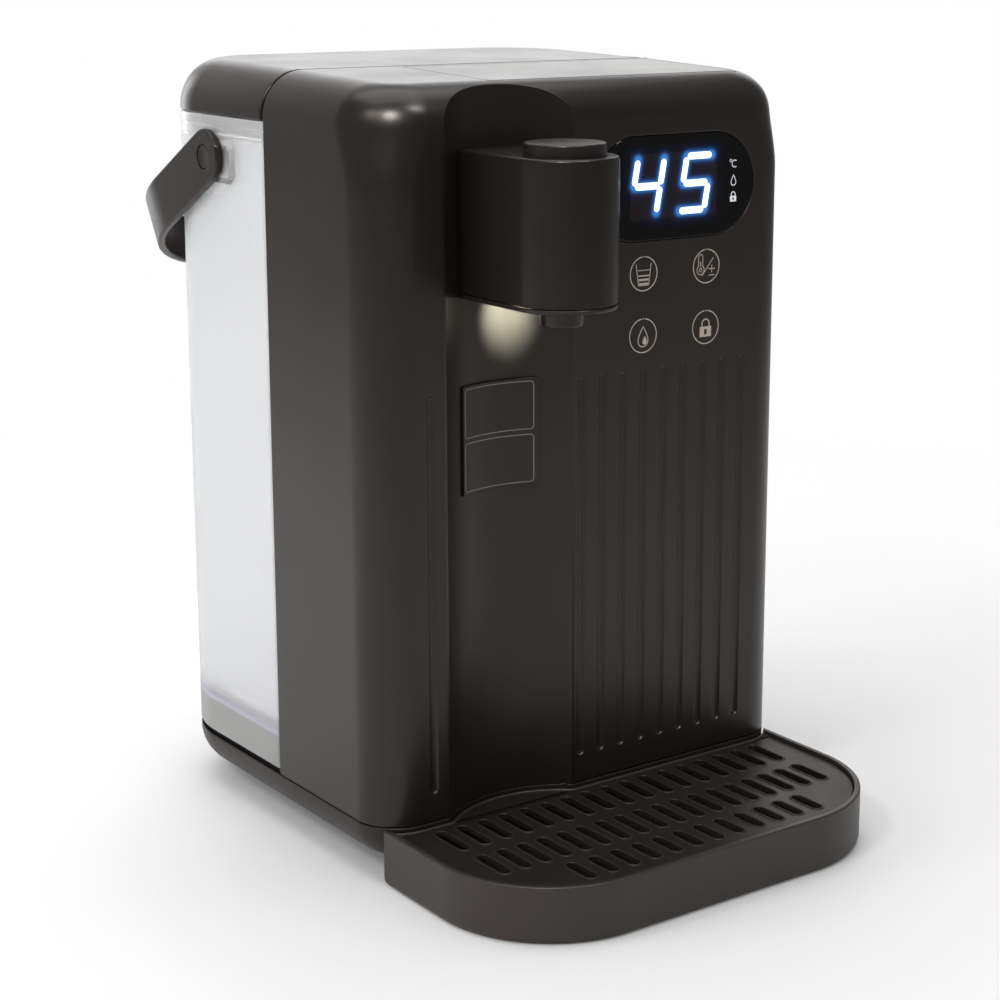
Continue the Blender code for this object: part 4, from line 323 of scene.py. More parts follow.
def noise(tree, coordinate, detail=3.0, roughness=0.5):
    made = put(tree, "ShaderNodeTexNoise", detail=detail, roughness=roughness)
    tree.links.new(coordinate, made.inputs["Vector"])
    return made


def spread(tree, value, low, high):
    """Stretches a noise value between two numbers or sockets."""
    made = put(tree, "ShaderNodeMapRange", from_min=0.3, from_max=0.7)
    tree.links.new(value, made.inputs["Value"])
    for label, end in (("To Min", low), ("To Max", high)):
        if isinstance(end, (int, float)):
            made.inputs[label].default_value = end
        else:
            tree.links.new(end, made.inputs[label])
    return made.outputs["Result"]


# The grain that spark erosion leaves in the mould, and the slow drift of tone in moulded plastic
moulded_grain, grain_in, grain_out = shader_group(
    "moulded grain",
    [
        ("Tone A", (0.02, 0.02, 0.02, 1)), ("Tone B", (0.03, 0.03, 0.03, 1)),
        ("Grains Per Metre", 3500.0), ("Drift Per Metre", 9.0),
    ],
    [("Color", "NodeSocketColor"), ("Height", "NodeSocketFloat")],
)
place = put(moulded_grain, "ShaderNodeTexCoord").outputs["Object"]
fine = noise(moulded_grain, place, detail=2.0, roughness=0.6)
moulded_grain.links.new(grain_in.outputs["Grains Per Metre"], fine.inputs["Scale"])
drift = noise(moulded_grain, place, detail=2.0)
moulded_grain.links.new(grain_in.outputs["Drift Per Metre"], drift.inputs["Scale"])
tone_share = spread(moulded_grain, drift.outputs["Fac"], 0.0, 1.0)
speck = spread(moulded_grain, fine.outputs["Fac"], -0.15, 0.15)
tone_sum = put(moulded_grain, "ShaderNodeMath", operation="ADD", use_clamp=True)
moulded_grain.links.new(tone_share, tone_sum.inputs[0])
moulded_grain.links.new(speck, tone_sum.inputs[1])
tone = put(moulded_grain, "ShaderNodeMix", data_type="RGBA")
moulded_grain.links.new(tone_sum.outputs[0], tone.inputs["Factor"])
moulded_grain.links.new(grain_in.outputs["Tone A"], tone.inputs[6])
moulded_grain.links.new(grain_in.outputs["Tone B"], tone.inputs[7])
moulded_grain.links.new(tone.outputs[2], grain_out.inputs["Color"])
moulded_grain.links.new(fine.outputs["Fac"], grain_out.inputs["Height"])

# Faint wipe marks and fingertips, which only change how sharply a surface mirrors
handling_marks, marks_in, marks_out = shader_group(
    "handling marks",
    [("Clean Roughness", 0.36), ("Touched Roughness", 0.42), ("Marks Per Metre", 30.0)],
    [("Roughness", "NodeSocketFloat")],
)
place = put(handling_marks, "ShaderNodeTexCoord").outputs["Object"]
stretch = put(handling_marks, "ShaderNodeMapping")
stretch.inputs["Scale"].default_value = (1.0, 1.0, 0.35)
handling_marks.links.new(place, stretch.inputs["Vector"])
wipes = noise(handling_marks, stretch.outputs["Vector"], detail=5.0, roughness=0.62)
handling_marks.links.new(marks_in.outputs["Marks Per Metre"], wipes.inputs["Scale"])
result = spread(
    handling_marks, wipes.outputs["Fac"], marks_in.outputs["Clean Roughness"], marks_in.outputs["Touched Roughness"],
)
handling_marks.links.new(result, marks_out.inputs["Roughness"])


WARM_SHINE = (1.0, 0.92, 0.85)
NEUTRAL_SHINE = (1.0, 1.0, 1.0)


def toned(tree, shader, tone_a, tone_b, grains=3500.0, drift=9.0):
    """Colours a finish with two close tones that drift and speckle, and hands back their group."""
    grain = put(
        tree, "ShaderNodeGroup", node_tree=moulded_grain,
        tone_a=(*tone_a, 1), tone_b=(*tone_b, 1), grains_per_metre=grains, drift_per_metre=drift,
    )
    tree.links.new(grain.outputs["Color"], shader.inputs["Base Color"])
    return grain


def marked(tree, clean, touched, marks_per_metre=30.0):
    """The roughness of a handled surface, from where it is clean to where it is touched."""
    marks = put(
        tree, "ShaderNodeGroup", node_tree=handling_marks,
        clean_roughness=clean, touched_roughness=touched, marks_per_metre=marks_per_metre,
    )
    return marks.outputs["Roughness"]


def raised(tree, shader, height, strength, distance):
    """Gives a finish the relief of a height."""
    bump = put(tree, "ShaderNodeBump", strength=strength, distance=distance)
    tree.links.new(height, bump.inputs["Height"])
    tree.links.new(bump.outputs["Normal"], shader.inputs["Normal"])


def moulded_plastic(name, tone_a, tone_b, clean, touched, grain_depth, grains=3500.0, gloss=0.5, shine=WARM_SHINE):
    """A plastic with a moulded grain, a slow drift of tone, faint handling marks and a tinted shine."""
    made, tree, shader = material_nodes(name, {"Specular IOR Level": gloss, "Specular Tint": (*shine, 1)})
    grain = toned(tree, shader, tone_a, tone_b, grains)
    tree.links.new(marked(tree, clean, touched), shader.inputs["Roughness"])
    raised(tree, shader, grain.outputs["Height"], 0.35, grain_depth)
    return made


satin_brown = moulded_plastic(
    "satin brown ABS", (0.0122, 0.0097, 0.0086), (0.0150, 0.0121, 0.0107), 0.28, 0.34, 0.00006, gloss=0.40,
)


def outline(half, front_y, rear_y, front_radius, rear_radius, steps=24):
    """The plan of a moulding, anticlockwise, with rounded corners."""
    points = []
    corners = (
        (-half, front_y, 1, 1, front_radius, 180), (half, front_y, -1, 1, front_radius, 270),
        (half, rear_y, -1, -1, rear_radius, 0), (-half, rear_y, 1, -1, rear_radius, 90),
    )
    for x, y, to_x, to_y, radius, start in corners:
        for i in range(steps + 1):
            turn = math.radians(start + 90 * i / steps)
            centre = (x + to_x * radius, y + to_y * radius)
            points.append((centre[0] + radius * math.cos(turn), centre[1] + radius * math.sin(turn)))
    return points


def top_rim(radius, z, steps=8):
    """Insets and heights along a rounded top edge."""
    turns = [math.pi / 2 * i / steps for i in range(steps + 1)]
    return [(radius * (1 - math.cos(turn)), z - radius * (1 - math.sin(turn))) for turn in turns]


def low_rim(radius, z, steps=8):
    """Insets and heights along a rounded bottom edge."""
    turns = [math.pi / 2 * i / steps for i in range(steps + 1)]
    return [(radius * (1 - math.sin(turn)), z + radius * (1 - math.cos(turn))) for turn in turns]


def walled(form, rows):
    """Joins closed rows of vertices, one above another, into a wall."""
    for low, high in zip(rows, rows[1:]):
        for i in range(len(low)):
            j = (i + 1) % len(low)
            form.faces.new((low[i], low[j], high[j], high[i]))


def lofted(rings):
    """A closed body through rings of as many points each, with flat ends."""
    form = bmesh.new()
    rows = [[form.verts.new(point) for point in ring] for ring in rings]
    walled(form, rows)
    form.faces.new(list(reversed(rows[0])))
    form.faces.new(rows[-1])
    bmesh.ops.recalc_face_normals(form, faces=form.faces)
    return form


def stacked(plan, profile):
    """A body whose plan shrinks by each inset of its profile at that height."""
    return lofted([[(x, y, z) for x, y in plan(inset)] for inset, z in profile])


def prism(plan, low_z, high_z):
    """A straight body over one plan."""
    return lofted([[(x, y, z) for x, y in plan] for z in (low_z, high_z)])


def drawn_in(wall, profile):
    """A profile moved inwards by a wall's thickness."""
    return [(wall + inset, z) for inset, z in profile]


def block(low, high):
    form = bmesh.new()
    bmesh.ops.create_cube(form, size=1)
    for vert in form.verts:
        vert.co = Vector(low[i] if vert.co[i] < 0 else high[i] for i in range(3))
    return form


def lean(form, from_z, full_z, shift_at):
    """Leans the top of a body by a height that depends on Y."""
    for vert in form.verts:
        share = max(0.0, (vert.co.z - from_z) / (full_z - from_z))
        vert.co.z += share * shift_at(vert.co.y)
    return form


def gathered(forms):
    """Several bodies in one form."""
    whole = bmesh.new()
    for form in forms:
        mesh = bpy.data.meshes.new("gathered")
        form.to_mesh(mesh)
        form.free()
        whole.from_mesh(mesh)
        bpy.data.meshes.remove(mesh)
    return whole


def as_object(name, form):
    mesh = bpy.data.meshes.new(name)
    form.to_mesh(mesh)
    form.free()
    made = bpy.data.objects.new(name, mesh)
    bpy.context.scene.collection.objects.link(made)
    return made


def back_to_form(target):
    """Takes an object out of the scene again and hands back its form."""
    form = bmesh.new()
    form.from_mesh(target.data)
    bpy.data.objects.remove(target)
    return form


def carve(target, form, operation="DIFFERENCE"):
    """Cuts a form out of an object, or joins it, and keeps only the result."""
    cutter = as_object("cutter", form)
    step = target.modifiers.new("carve", "BOOLEAN")
    step.operation = operation
    step.solver = "EXACT"
    step.object = cutter
    bpy.context.view_layer.update()
    graph = bpy.context.evaluated_depsgraph_get()
    result = bpy.data.meshes.new_from_object(target.evaluated_get(graph), depsgraph=graph)
    target.modifiers.clear()
    old = target.data
    target.data = result
    bpy.data.meshes.remove(old)
    cutter_mesh = cutter.data
    bpy.data.objects.remove(cutter)
    bpy.data.meshes.remove(cutter_mesh)


def broken_edges(target, width, steps=2, angle=38):
    """Breaks the sharp edges of a moulding and settles the shading of its flats."""
    mesh = target.data
    form = bmesh.new()
    form.from_mesh(mesh)
    bmesh.ops.triangulate(form, faces=[face for face in form.faces if len(face.verts) > 4])
    bmesh.ops.remove_doubles(form, verts=form.verts, dist=0.00002)
    bmesh.ops.dissolve_degenerate(form, edges=form.edges, dist=0.00001)
    form.to_mesh(mesh)
    form.free()
    if width:
        edge = target.modifiers.new("broken edge", "BEVEL")
        edge.limit_method = "ANGLE"
        edge.angle_limit = math.radians(angle)
        edge.width = width
        edge.segments = steps
        edge.use_clamp_overlap = False
        edge.miter_outer = "MITER_ARC"
        bpy.context.view_layer.update()
        graph = bpy.context.evaluated_depsgraph_get()
        broken = bpy.data.meshes.new_from_object(target.evaluated_get(graph), depsgraph=graph)
        target.modifiers.clear()
        # Beside slivers the bevel throws spikes, which are laid back on the unbroken surface
        surface = BVHTree.FromPolygons([vert.co for vert in mesh.vertices], [face.vertices for face in mesh.polygons])
        for vert in broken.vertices:
            nearest, _, _, away = surface.find_nearest(vert.co)
            if away > 1.6 * width:
                vert.co = nearest
        target.data = broken
        bpy.data.meshes.remove(mesh)
        mesh = broken
    mesh.shade_smooth()
    mesh.set_sharp_from_angle(angle=math.radians(angle + 12))
    shade = target.modifiers.new("flat shading", "WEIGHTED_NORMAL")
    shade.keep_sharp = True
    shade.weight = 60


def dress(piece, finish, body, slot, *nodes):
    """Gives a piece its finish and its body, and lets it stand for the solids that it details."""
    piece.data.materials.clear()
    piece.data.materials.append(finish)
    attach(piece, body)
    if nodes:
        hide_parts(*nodes)


def shell_ring(inset, z, rear_y=SEAM_Y, steps=24):
    """One level of the housing; its front corners grow rounder towards the roof."""
    crown = min(max((z - CROWN_START_Z) / CROWN_RUN, 0.0), 1.0)
    radius = FRONT_CORNER + CROWN_GROWTH * crown * crown * (3 - 2 * crown)
    plan = outline(HALF_WIDTH - inset, FACE_Y + inset, rear_y, radius - inset, 0.0004, steps)
    return [(x, y, z) for x, y in plan]


def shell_lean(form):
    return lean(
        form, SHELL_TOP_Z - TOP_ROUND, SHELL_TOP_Z, lambda y: (y - SEAM_Y) / SHELL_DEPTH * TOP_FALL,
    )


def channel_edge(grow):
    """The channel's plan from right to left with its soft lips, moved into the housing by a distance."""
    radius = CHANNEL_RADIUS + grow
    lip = max(CHANNEL_LIP - grow, 0.0002)
    reach = FACE_Y + CHANNEL_LIP - CHANNEL_Y
    out = math.sqrt((CHANNEL_RADIUS + CHANNEL_LIP) ** 2 - reach ** 2)
    meet = math.atan2(reach, out)
    points = []
    for i in range(13):
        turn = -math.pi / 2 - (math.pi / 2 - meet) * i / 12
        points.append((CHANNEL_X + out + lip * math.cos(turn), FACE_Y + CHANNEL_LIP + lip * math.sin(turn)))
    for i in range(1, 96):
        turn = meet + (math.pi - 2 * meet) * i / 96
        points.append((CHANNEL_X + radius * math.cos(turn), CHANNEL_Y + radius * math.sin(turn)))
    for i in range(13):
        turn = -meet - (math.pi / 2 - meet) * i / 12
        points.append((CHANNEL_X - out + lip * math.cos(turn), FACE_Y + CHANNEL_LIP + lip * math.sin(turn)))
    return points


def channel_cutter(grow, low_z, high_z):
    """The room of the channel, open to the front."""
    edge = channel_edge(grow)
    plan = [(edge[0][0], FACE_Y - 0.03)] + edge + [(edge[-1][0], FACE_Y - 0.03)]
    return prism(plan, low_z, high_z)


def on_face(plan_at, profile, x, z):
    """A body let into the face: outlines in X and Z, stacked along the depth behind the face."""
    rings = []
    for inset, depth in profile:
        rings.append([(x + px, FACE_Y + depth, z + pz) for px, pz in plan_at(inset)])
    return lofted(rings)


def stadium(length, width, steps=24):
    """A level slot outline with round ends."""
    radius = width / 2
    run = length / 2 - radius
    points = []
    for centre, start in ((run, -90), (-run, 90)):
        for i in range(steps + 1):
            turn = math.radians(start + 180 * i / steps)
            points.append((centre + radius * math.cos(turn), radius * math.sin(turn)))
    return points


def flute(x):
    """One shallow groove with a rounded floor and softly broken edges."""
    long = FLUTE_HIGH_Z - FLUTE_LOW_Z
    half = FLUTE_WIDTH / 2

    def plan(inset):
        return [(-b, a) for a, b in stadium(long - 2 * inset, FLUTE_WIDTH - 2 * inset, 10)]
    profile = [(-0.00045, -0.0010), (-0.00045, -0.00001), (-0.00022, 0.00004), (-0.00006, 0.00016)]
    for i in range(1, 8):
        turn = math.radians(12.5 * i)
        profile.append((half * (1 - math.cos(turn)), 0.00016 + (FLUTE_DEPTH - 0.00016) * math.sin(turn)))
    return on_face(plan, profile, x, (FLUTE_HIGH_Z + FLUTE_LOW_Z) / 2)


def panel_block(grow, low, high):
    """The seat of the top panel, parallel to the sloping roof."""
    form = block(
        (PANEL_X[0] - grow, PANEL_Y[0] - grow, SHELL_TOP_Z - low),
        (PANEL_X[1] + grow, PANEL_Y[1] + grow, SHELL_TOP_Z + high),
    )
    for vert in form.verts:
        vert.co.z += (vert.co.y - SEAM_Y) / SHELL_DEPTH * TOP_FALL
    return form


crown_levels = [CROWN_START_Z + 0.0022 * i for i in range(11)]
shell_profile = low_rim(0.0006, SHELL_LOW_Z, 4) + [(0, z) for z in crown_levels] + top_rim(TOP_ROUND, SHELL_TOP_Z, 20)
front_housing = as_object("front_housing", shell_lean(lofted([shell_ring(inset, z) for inset, z in shell_profile])))
hollow_levels = [(0, z) for z in [SHELL_LOW_Z - PAST] + crown_levels]
hollow_profile = drawn_in(WALL, hollow_levels + top_rim(TOP_ROUND - WALL, SHELL_TOP_Z - WALL, 12))
hollow = as_object("hollow", shell_lean(lofted([
    shell_ring(inset, z, SEAM_Y + PAST, 12) for inset, z in hollow_profile
])))
carve(hollow, channel_cutter(WALL, 0, SHELL_TOP_Z + 0.02))
carve(front_housing, back_to_form(hollow))
carve(front_housing, channel_cutter(0, 0, SHELL_TOP_Z + 0.02))
carve(front_housing, gathered([flute(x) for x in FLUTE_XS]))
carve(front_housing, on_face(
    lambda inset: stadium(WINDOW_LENGTH + 0.0004 - 2 * inset, WINDOW_HEIGHT + 0.0004 - 2 * inset, 40),
    [(-0.0003, -0.0010), (-0.0003, -0.00001), (-0.0001, 0.0001), (0, 0.0003), (0, 0.0017)],
    WINDOW_X, WINDOW_Z,
))
carve(front_housing, on_face(
    lambda inset: stadium(WINDOW_LENGTH - 2 * WINDOW_LEDGE, WINDOW_HEIGHT - 2 * WINDOW_LEDGE, 40),
    [(0, 0.001), (0, 0.006)], WINDOW_X, WINDOW_Z,
))
carve(front_housing, panel_block(0.0003, PANEL_THICKNESS + 0.0003, PAST))
broken_edges(front_housing, 0.00025)
dress(front_housing, satin_brown, "dispenser_body", "dark_plastic", "front_shell")


# ---- Top panel ---------------------------------------------------------------------------
# A flat inlay snapped into the roof of the housing, in the same ABS with a finer, silkier finish
# that mirrors the light from above.
silky_brown = moulded_plastic(
    "silky brown ABS", (0.030, 0.028, 0.027), (0.034, 0.032, 0.030), 0.30, 0.36, 0.00003, grains=5200.0, gloss=0.55,
)
top_inlay = as_object("top_inlay", panel_block(0, PANEL_THICKNESS, PAST))
roof = shell_lean(lofted([shell_ring(inset, z) for inset, z in top_rim(TOP_ROUND, SHELL_TOP_Z, 20)]))
carve(top_inlay, roof, "INTERSECT")
broken_edges(top_inlay, 0.00025)
dress(top_inlay, silky_brown, "dispenser_body", "dark_plastic", "top_panel")


# ---- Display window ----------------------------------------------------------------------
# A polished smoked acrylic lens with round ends, flush in the face. Behind it a two-digit
# display glows cool white, with small status marks at its right.
smoked_acrylic, tree, shader = material_nodes("smoked acrylic", {
    "Base Color": (0.0035, 0.0035, 0.0040, 1), "Specular IOR Level": 0.30,
})
tree.links.new(marked(tree, 0.05, 0.09, 55.0), shader.inputs["Roughness"])

window_lens = as_object("window_lens", on_face(
    lambda inset: stadium(WINDOW_LENGTH - 2 * inset, WINDOW_HEIGHT - 2 * inset, 48),
    [(0.0004, 0.00002), (0.00025, 0.00005), (0.0001, 0.00016), (0, 0.0004), (0, 0.0014)],
    WINDOW_X, WINDOW_Z,
))
broken_edges(window_lens, 0)
dress(window_lens, smoked_acrylic, "dispenser_body", "black_glass", "display_window")

DIGIT_HALF_HEIGHT = 0.0108
DIGIT_HALF_WIDTH = 0.0066
BAR_WIDTH = 0.0030
BAR_GAP = 0.00045
DIGIT_SLANT = 0.185
DIGIT_Z = 0.2649
FOUR_X = 0.0246
FIVE_X = 0.0493
# The bars of a digit, from the top clockwise and then the middle, as ends in half widths and half heights
BARS = {
    "top": ((-1, 1), (1, 1)), "upper right": ((1, 1), (1, 0)), "lower right": ((1, 0), (1, -1)),
    "foot": ((-1, -1), (1, -1)), "lower left": ((-1, 0), (-1, -1)), "upper left": ((-1, 1), (-1, 0)),
    "middle": ((-1, 0), (1, 0)),
}
FOUR = ("upper left", "middle", "upper right", "lower right")
FIVE = ("top", "upper left", "middle", "lower right", "foot")


def bar_ends(centre_x, bar):
    """A bar's two pointed ends on the face, in X and Z, slanted like the display."""
    first, last = [Vector((x * DIGIT_HALF_WIDTH, z * DIGIT_HALF_HEIGHT)) for x, z in BARS[bar]]
    step = (last - first).normalized() * BAR_GAP
    return [Vector((centre_x + end.x + DIGIT_SLANT * end.y, DIGIT_Z + end.y)) for end in (first + step, last - step)]


def bar_form(first, last, width, lift):
    """A long light bar with blunt points, laid just proud of the window."""
    along = (last - first).normalized()
    out = Vector((-along.y, along.x)) * width / 2
    shoulder = along * width * 0.36
    blunt = out * 0.42
    points = [
        first - blunt, first + shoulder - out, last - shoulder - out, last - blunt,
        last + blunt, last - shoulder + out, first + shoulder + out, first + blunt,
    ]
    form = bmesh.new()
    form.faces.new([form.verts.new((p.x, FACE_Y - lift, p.y)) for p in points])
    bmesh.ops.recalc_face_normals(form, faces=form.faces)
    for face in form.faces:
        if face.normal.y > 0:
            face.normal_flip()
    return form


lit_bars = [bar_ends(FOUR_X, bar) for bar in FOUR] + [bar_ends(FIVE_X, bar) for bar in FIVE]
cool_light, tree, shader = material_nodes("cool white light", {
    "Base Color": (0.9, 0.95, 1.0, 1), "Emission Color": (0.80, 0.93, 1.0, 1), "Emission Strength": 1.25,
})
light_bars = as_object("light_bars", gathered([bar_form(a, b, BAR_WIDTH * 0.92, 0.00006) for a, b in lit_bars]))
dress(light_bars, cool_light, "dispenser_body", "black_glass")

# A painted glow: the bloom that the bars throw into the smoked lens, worked out from the distance to the nearest bar,
# and a faint even glow painted over the digits' field
FILM_LOW = Vector((0.0120, 0.2470))
FILM_HIGH = Vector((0.0650, 0.2822))
FIELD = ((0.0158, 0.0606), (0.2513, 0.2780))
FILM_PITCH = 0.0003
FILM_LIFT = 0.00002
GLOW_TONE = (0.030, 0.190, 0.560)
HAZE_TONE = (0.002, 0.012, 0.055)
FIELD_GLOW_TONE = (0.0075, 0.0045, 0.0042)
film_form = bmesh.new()
columns = round((FILM_HIGH.x - FILM_LOW.x) / FILM_PITCH)
rows = round((FILM_HIGH.y - FILM_LOW.y) / FILM_PITCH)
film_verts = [
    [
        film_form.verts.new((FILM_LOW.x + FILM_PITCH * i, FACE_Y - FILM_LIFT, FILM_LOW.y + FILM_PITCH * j))
        for i in range(columns + 1)
    ] for j in range(rows + 1)
]
for j in range(rows):
    for i in range(columns):
        film_form.faces.new((film_verts[j][i], film_verts[j][i + 1], film_verts[j + 1][i + 1], film_verts[j + 1][i]))
display_bloom = as_object("display_bloom", film_form)
bloom = display_bloom.data.color_attributes.new("bloom", "FLOAT_COLOR", "POINT")
for vert in display_bloom.data.vertices:
    spot = Vector((vert.co.x, vert.co.z))
    nearest = 1.0
    for start, end in lit_bars:
        run = end - start
        part = max(0.0, min(1.0, (spot - start).dot(run) / run.length_squared))
        nearest = min(nearest, (spot - start - run * part).length)
    out = max(0.0, nearest - BAR_WIDTH * 0.45)
    glow = math.exp(-(out / 0.0008) ** 1.4)
    haze = math.exp(-out / 0.0020)
    edge = min(spot.x - FILM_LOW.x, FILM_HIGH.x - spot.x, spot.y - FILM_LOW.y, FILM_HIGH.y - spot.y)
    fade = max(0.0, min(1.0, edge / 0.003))
    inner = min(spot.x - FIELD[0][0], FIELD[0][1] - spot.x, spot.y - FIELD[1][0], FIELD[1][1] - spot.y)
    field = max(0.0, min(1.0, inner / 0.0006))
    bloom.data[vert.index].color = (*(
        fade * (near * glow + far * haze) + even * field
        for near, far, even in zip(GLOW_TONE, HAZE_TONE, FIELD_GLOW_TONE)
    ), 1)
bloom_film, tree, shader = material_nodes("bloom in the lens", {
    "Base Color": (0.004, 0.004, 0.005, 1), "Roughness": 0.07, "Specular IOR Level": 0.30, "Emission Strength": 1.0,
})
shade = put(tree, "ShaderNodeVertexColor", layer_name="bloom")
tree.links.new(shade.outputs["Color"], shader.inputs["Emission Color"])
dress(display_bloom, bloom_film, "dispenser_body", "black_glass")


# ---- Printed marks -----------------------------------------------------------------------
# Touch keys and status marks, screen printed in a warm beige ink straight on the plastic.
# They are plain signs: a cup, a thermometer, a drop and a padlock, each in its ring.
INK_LIFT = 0.00003
KEYS = {"cup": (0.0233, 0.2304), "heat": (0.0557, 0.2308), "drop": (0.0233, 0.2055), "lock": (0.0558, 0.2058)}
KEY_RADIUS = 0.0068
KEY_LINE = 0.00042
FINE_LINE = 0.00034


def stroke(points, width, closed=False):
    """A printed line of even width through points in X and Z."""
    points = [Vector(point) for point in points]
    count = len(points)
    form = bmesh.new()
    pairs = []
    for i, point in enumerate(points):
        before = points[i - 1] if closed or i else point
        after = points[(i + 1) % count] if closed or i < count - 1 else point
        first = (point - before).normalized() if (point - before).length else (after - point).normalized()
        second = (after - point).normalized() if (after - point).length else first
        along = (first + second).normalized()
        out = Vector((-along.y, along.x)) * width / 2 / max(0.4, along.dot(first))
        pairs.append([form.verts.new((q.x, FACE_Y - INK_LIFT, q.y)) for q in (point - out, point + out)])
    for i in range(count if closed else count - 1):
        (a, b), (c, d) = pairs[i], pairs[(i + 1) % count]
        form.faces.new((a, c, d, b))
    return form


def patch(points):
    """A printed area."""
    form = bmesh.new()
    form.faces.new([form.verts.new((x, FACE_Y - INK_LIFT, z)) for x, z in points])
    return form


def ring_points(x, z, radius, start=0, end=360, steps=72):
    turns = [math.radians(start + (end - start) * i / steps) for i in range(steps + 1)]
    return [(x + radius * math.cos(turn), z + radius * math.sin(turn)) for turn in turns]


def drop_points(x, z, size):
    """The outline of a water drop, its point up."""
    points = []
    for i in range(40):
        turn = 2 * math.pi * i / 40
        point_up = math.sin(turn / 2) ** 1.25
        points.append((x + size * 0.78 * math.sin(turn) * point_up, z + size * 0.92 * math.cos(turn)))
    return points


def padlock(x, z, size, line):
    """A padlock with its keyhole left open."""
    body_low = z - size * 0.85
    body_top = z + size * 0.15
    half = size * 0.72
    bow = half * 0.62
    shackle = [(x - bow, body_top)] + ring_points(x, z + size * 0.42, bow, 0, 180, 16)[::-1] + [(x + bow, body_top)]
    hole = size * 0.16
    hole_low = z - size * 0.62
    hole_top = z - size * 0.12
    forms = [stroke(shackle, line * 1.2)]
    for left, right, low, high in (
        (x - half, x - hole, body_low, body_top), (x + hole, x + half, body_low, body_top),
        (x - hole, x + hole, body_low, hole_low), (x - hole, x + hole, hole_top, body_top),
    ):
        forms.append(patch([(left, low), (right, low), (right, high), (left, high)]))
    return forms


marks_forms = []
for x, z in KEYS.values():
    marks_forms.append(stroke(ring_points(x, z, KEY_RADIUS, 97, 443), KEY_LINE))
    marks_forms.append(patch(ring_points(x, z + KEY_RADIUS, 0.00030, 0, 337, 15)))

x, z = KEYS["cup"]
marks_forms.append(stroke([
    (x - 0.0039, z + 0.0040), (x - 0.0026, z - 0.0046), (x + 0.0026, z - 0.0046), (x + 0.0037, z + 0.0040),
], FINE_LINE))
for level, thickness in ((0.0014, 0.9), (-0.0008, 1.5), (-0.0024, 2.4), (-0.0040, 2.0)):
    half = 0.0026 + (level + 0.0046) * 0.14 - 0.0004
    marks_forms.append(stroke([(x - half, z + level), (x + half, z + level)], FINE_LINE * thickness))

x, z = KEYS["heat"]
marks_forms.append(stroke(ring_points(x - 0.0030, z - 0.0014, 0.0019, 125, 415, 36), FINE_LINE))
marks_forms.append(stroke(ring_points(x - 0.0030, z - 0.0014, 0.0007, 0, 345, 23), FINE_LINE, closed=True))
tube = [(x - 0.0041, z)] + list(reversed(ring_points(x - 0.0030, z + 0.0038, 0.0011, 0, 180, 12))) + [(x - 0.0019, z)]
marks_forms.append(stroke(tube, FINE_LINE))
for start, end in (
    ((-0.0030, -0.0002), (-0.0030, 0.0020)), ((-0.0022, -0.0038), (0.0037, 0.0033)),
    ((0.0012, -0.0012), (0.0046, -0.0012)), ((0.0029, -0.0027), (0.0029, 0.0004)),
    ((0.0014, -0.0038), (0.0044, -0.0038)),
):
    marks_forms.append(stroke([(x + start[0], z + start[1]), (x + end[0], z + end[1])], FINE_LINE))

x, z = KEYS["drop"]
marks_forms.append(stroke(drop_points(x, z - 0.0004, 0.0044), FINE_LINE * 1.2, closed=True))
marks_forms.append(patch(drop_points(x + 0.0009, z - 0.0019, 0.0019)))
x, z = KEYS["lock"]
marks_forms += padlock(x, z - 0.0004, 0.0042, FINE_LINE * 1.3)


def printing_ink(name, tone_a, tone_b):
    """A matt ink, slightly uneven in tone."""
    made, tree, shader = material_nodes(name, {"Roughness": 0.5})
    toned(tree, shader, tone_a, tone_b, grains=6000.0, drift=300.0)
    return made


beige_ink = printing_ink("beige printing ink", (0.46, 0.40, 0.34), (0.54, 0.47, 0.40))
key_marks = as_object("key_marks", gathered(marks_forms))
dress(key_marks, beige_ink, "dispenser_body", "dark_plastic")

status_forms = [stroke(ring_points(0.0677, 0.2727, 0.00050, 0, 345, 23), 0.00024, closed=True)]
status_forms.append(stroke(ring_points(0.0698, 0.2714, 0.00140, 50, 310, 30), 0.00036))
status_forms.append(stroke(drop_points(0.0693, 0.2647, 0.0022), 0.00032, closed=True))
status_forms += padlock(0.0693, 0.2580, 0.0023, 0.00036)
pale_light, tree, shader = material_nodes("pale status light", {
    "Base Color": (0.55, 0.57, 0.60, 1), "Emission Color": (0.80, 0.85, 0.90, 1), "Emission Strength": 0.35,
})
status_marks = as_object("status_marks", gathered(status_forms))
dress(status_marks, pale_light, "dispenser_body", "black_glass")


# ---- Plate in the channel ----------------------------------------------------------------
# A thin curved plate bonded to the back of the channel, in the housing's plastic, with two
# fine rounded frames printed on it and nothing in them.
PLATE_HALF = 0.0178
PLATE_PRINT_LIFT = 0.00114
PLATE_Z = (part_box("channel_plate")[0].z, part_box("channel_plate")[1].z)
PLATE_MIDDLE_Z = (PLATE_Z[0] + PLATE_Z[1]) / 2


def on_channel(x, z, lift):
    """A point on the channel's back at a height above its surface."""
    radius = CHANNEL_RADIUS - lift
    turn = math.asin((x - CHANNEL_X) / radius)
    return (CHANNEL_X + radius * math.sin(turn), CHANNEL_Y + radius * math.cos(turn), z)


def rounded_frame(low_x, high_x, low_z, high_z, radius, steps=8):
    points = []
    for x, z, sx, sz, start in (
        (low_x, low_z, 1, 1, 180), (high_x, low_z, -1, 1, 270), (high_x, high_z, -1, -1, 0), (low_x, high_z, 1, -1, 90),
    ):
        for i in range(steps + 1):
            turn = math.radians(start + 90 * i / steps)
            points.append((x + sx * radius + radius * math.cos(turn), z + sz * radius + radius * math.sin(turn)))
    return points


def channel_patch(low_x, high_x, low_z, high_z, lift, columns=24):
    """A strip of the channel's back at a height above its surface, as rows of points from left to right."""
    xs = [low_x + (high_x - low_x) * i / columns for i in range(columns + 1)]
    return [[on_channel(x, z, lift) for x in xs] for z in (low_z, high_z)]


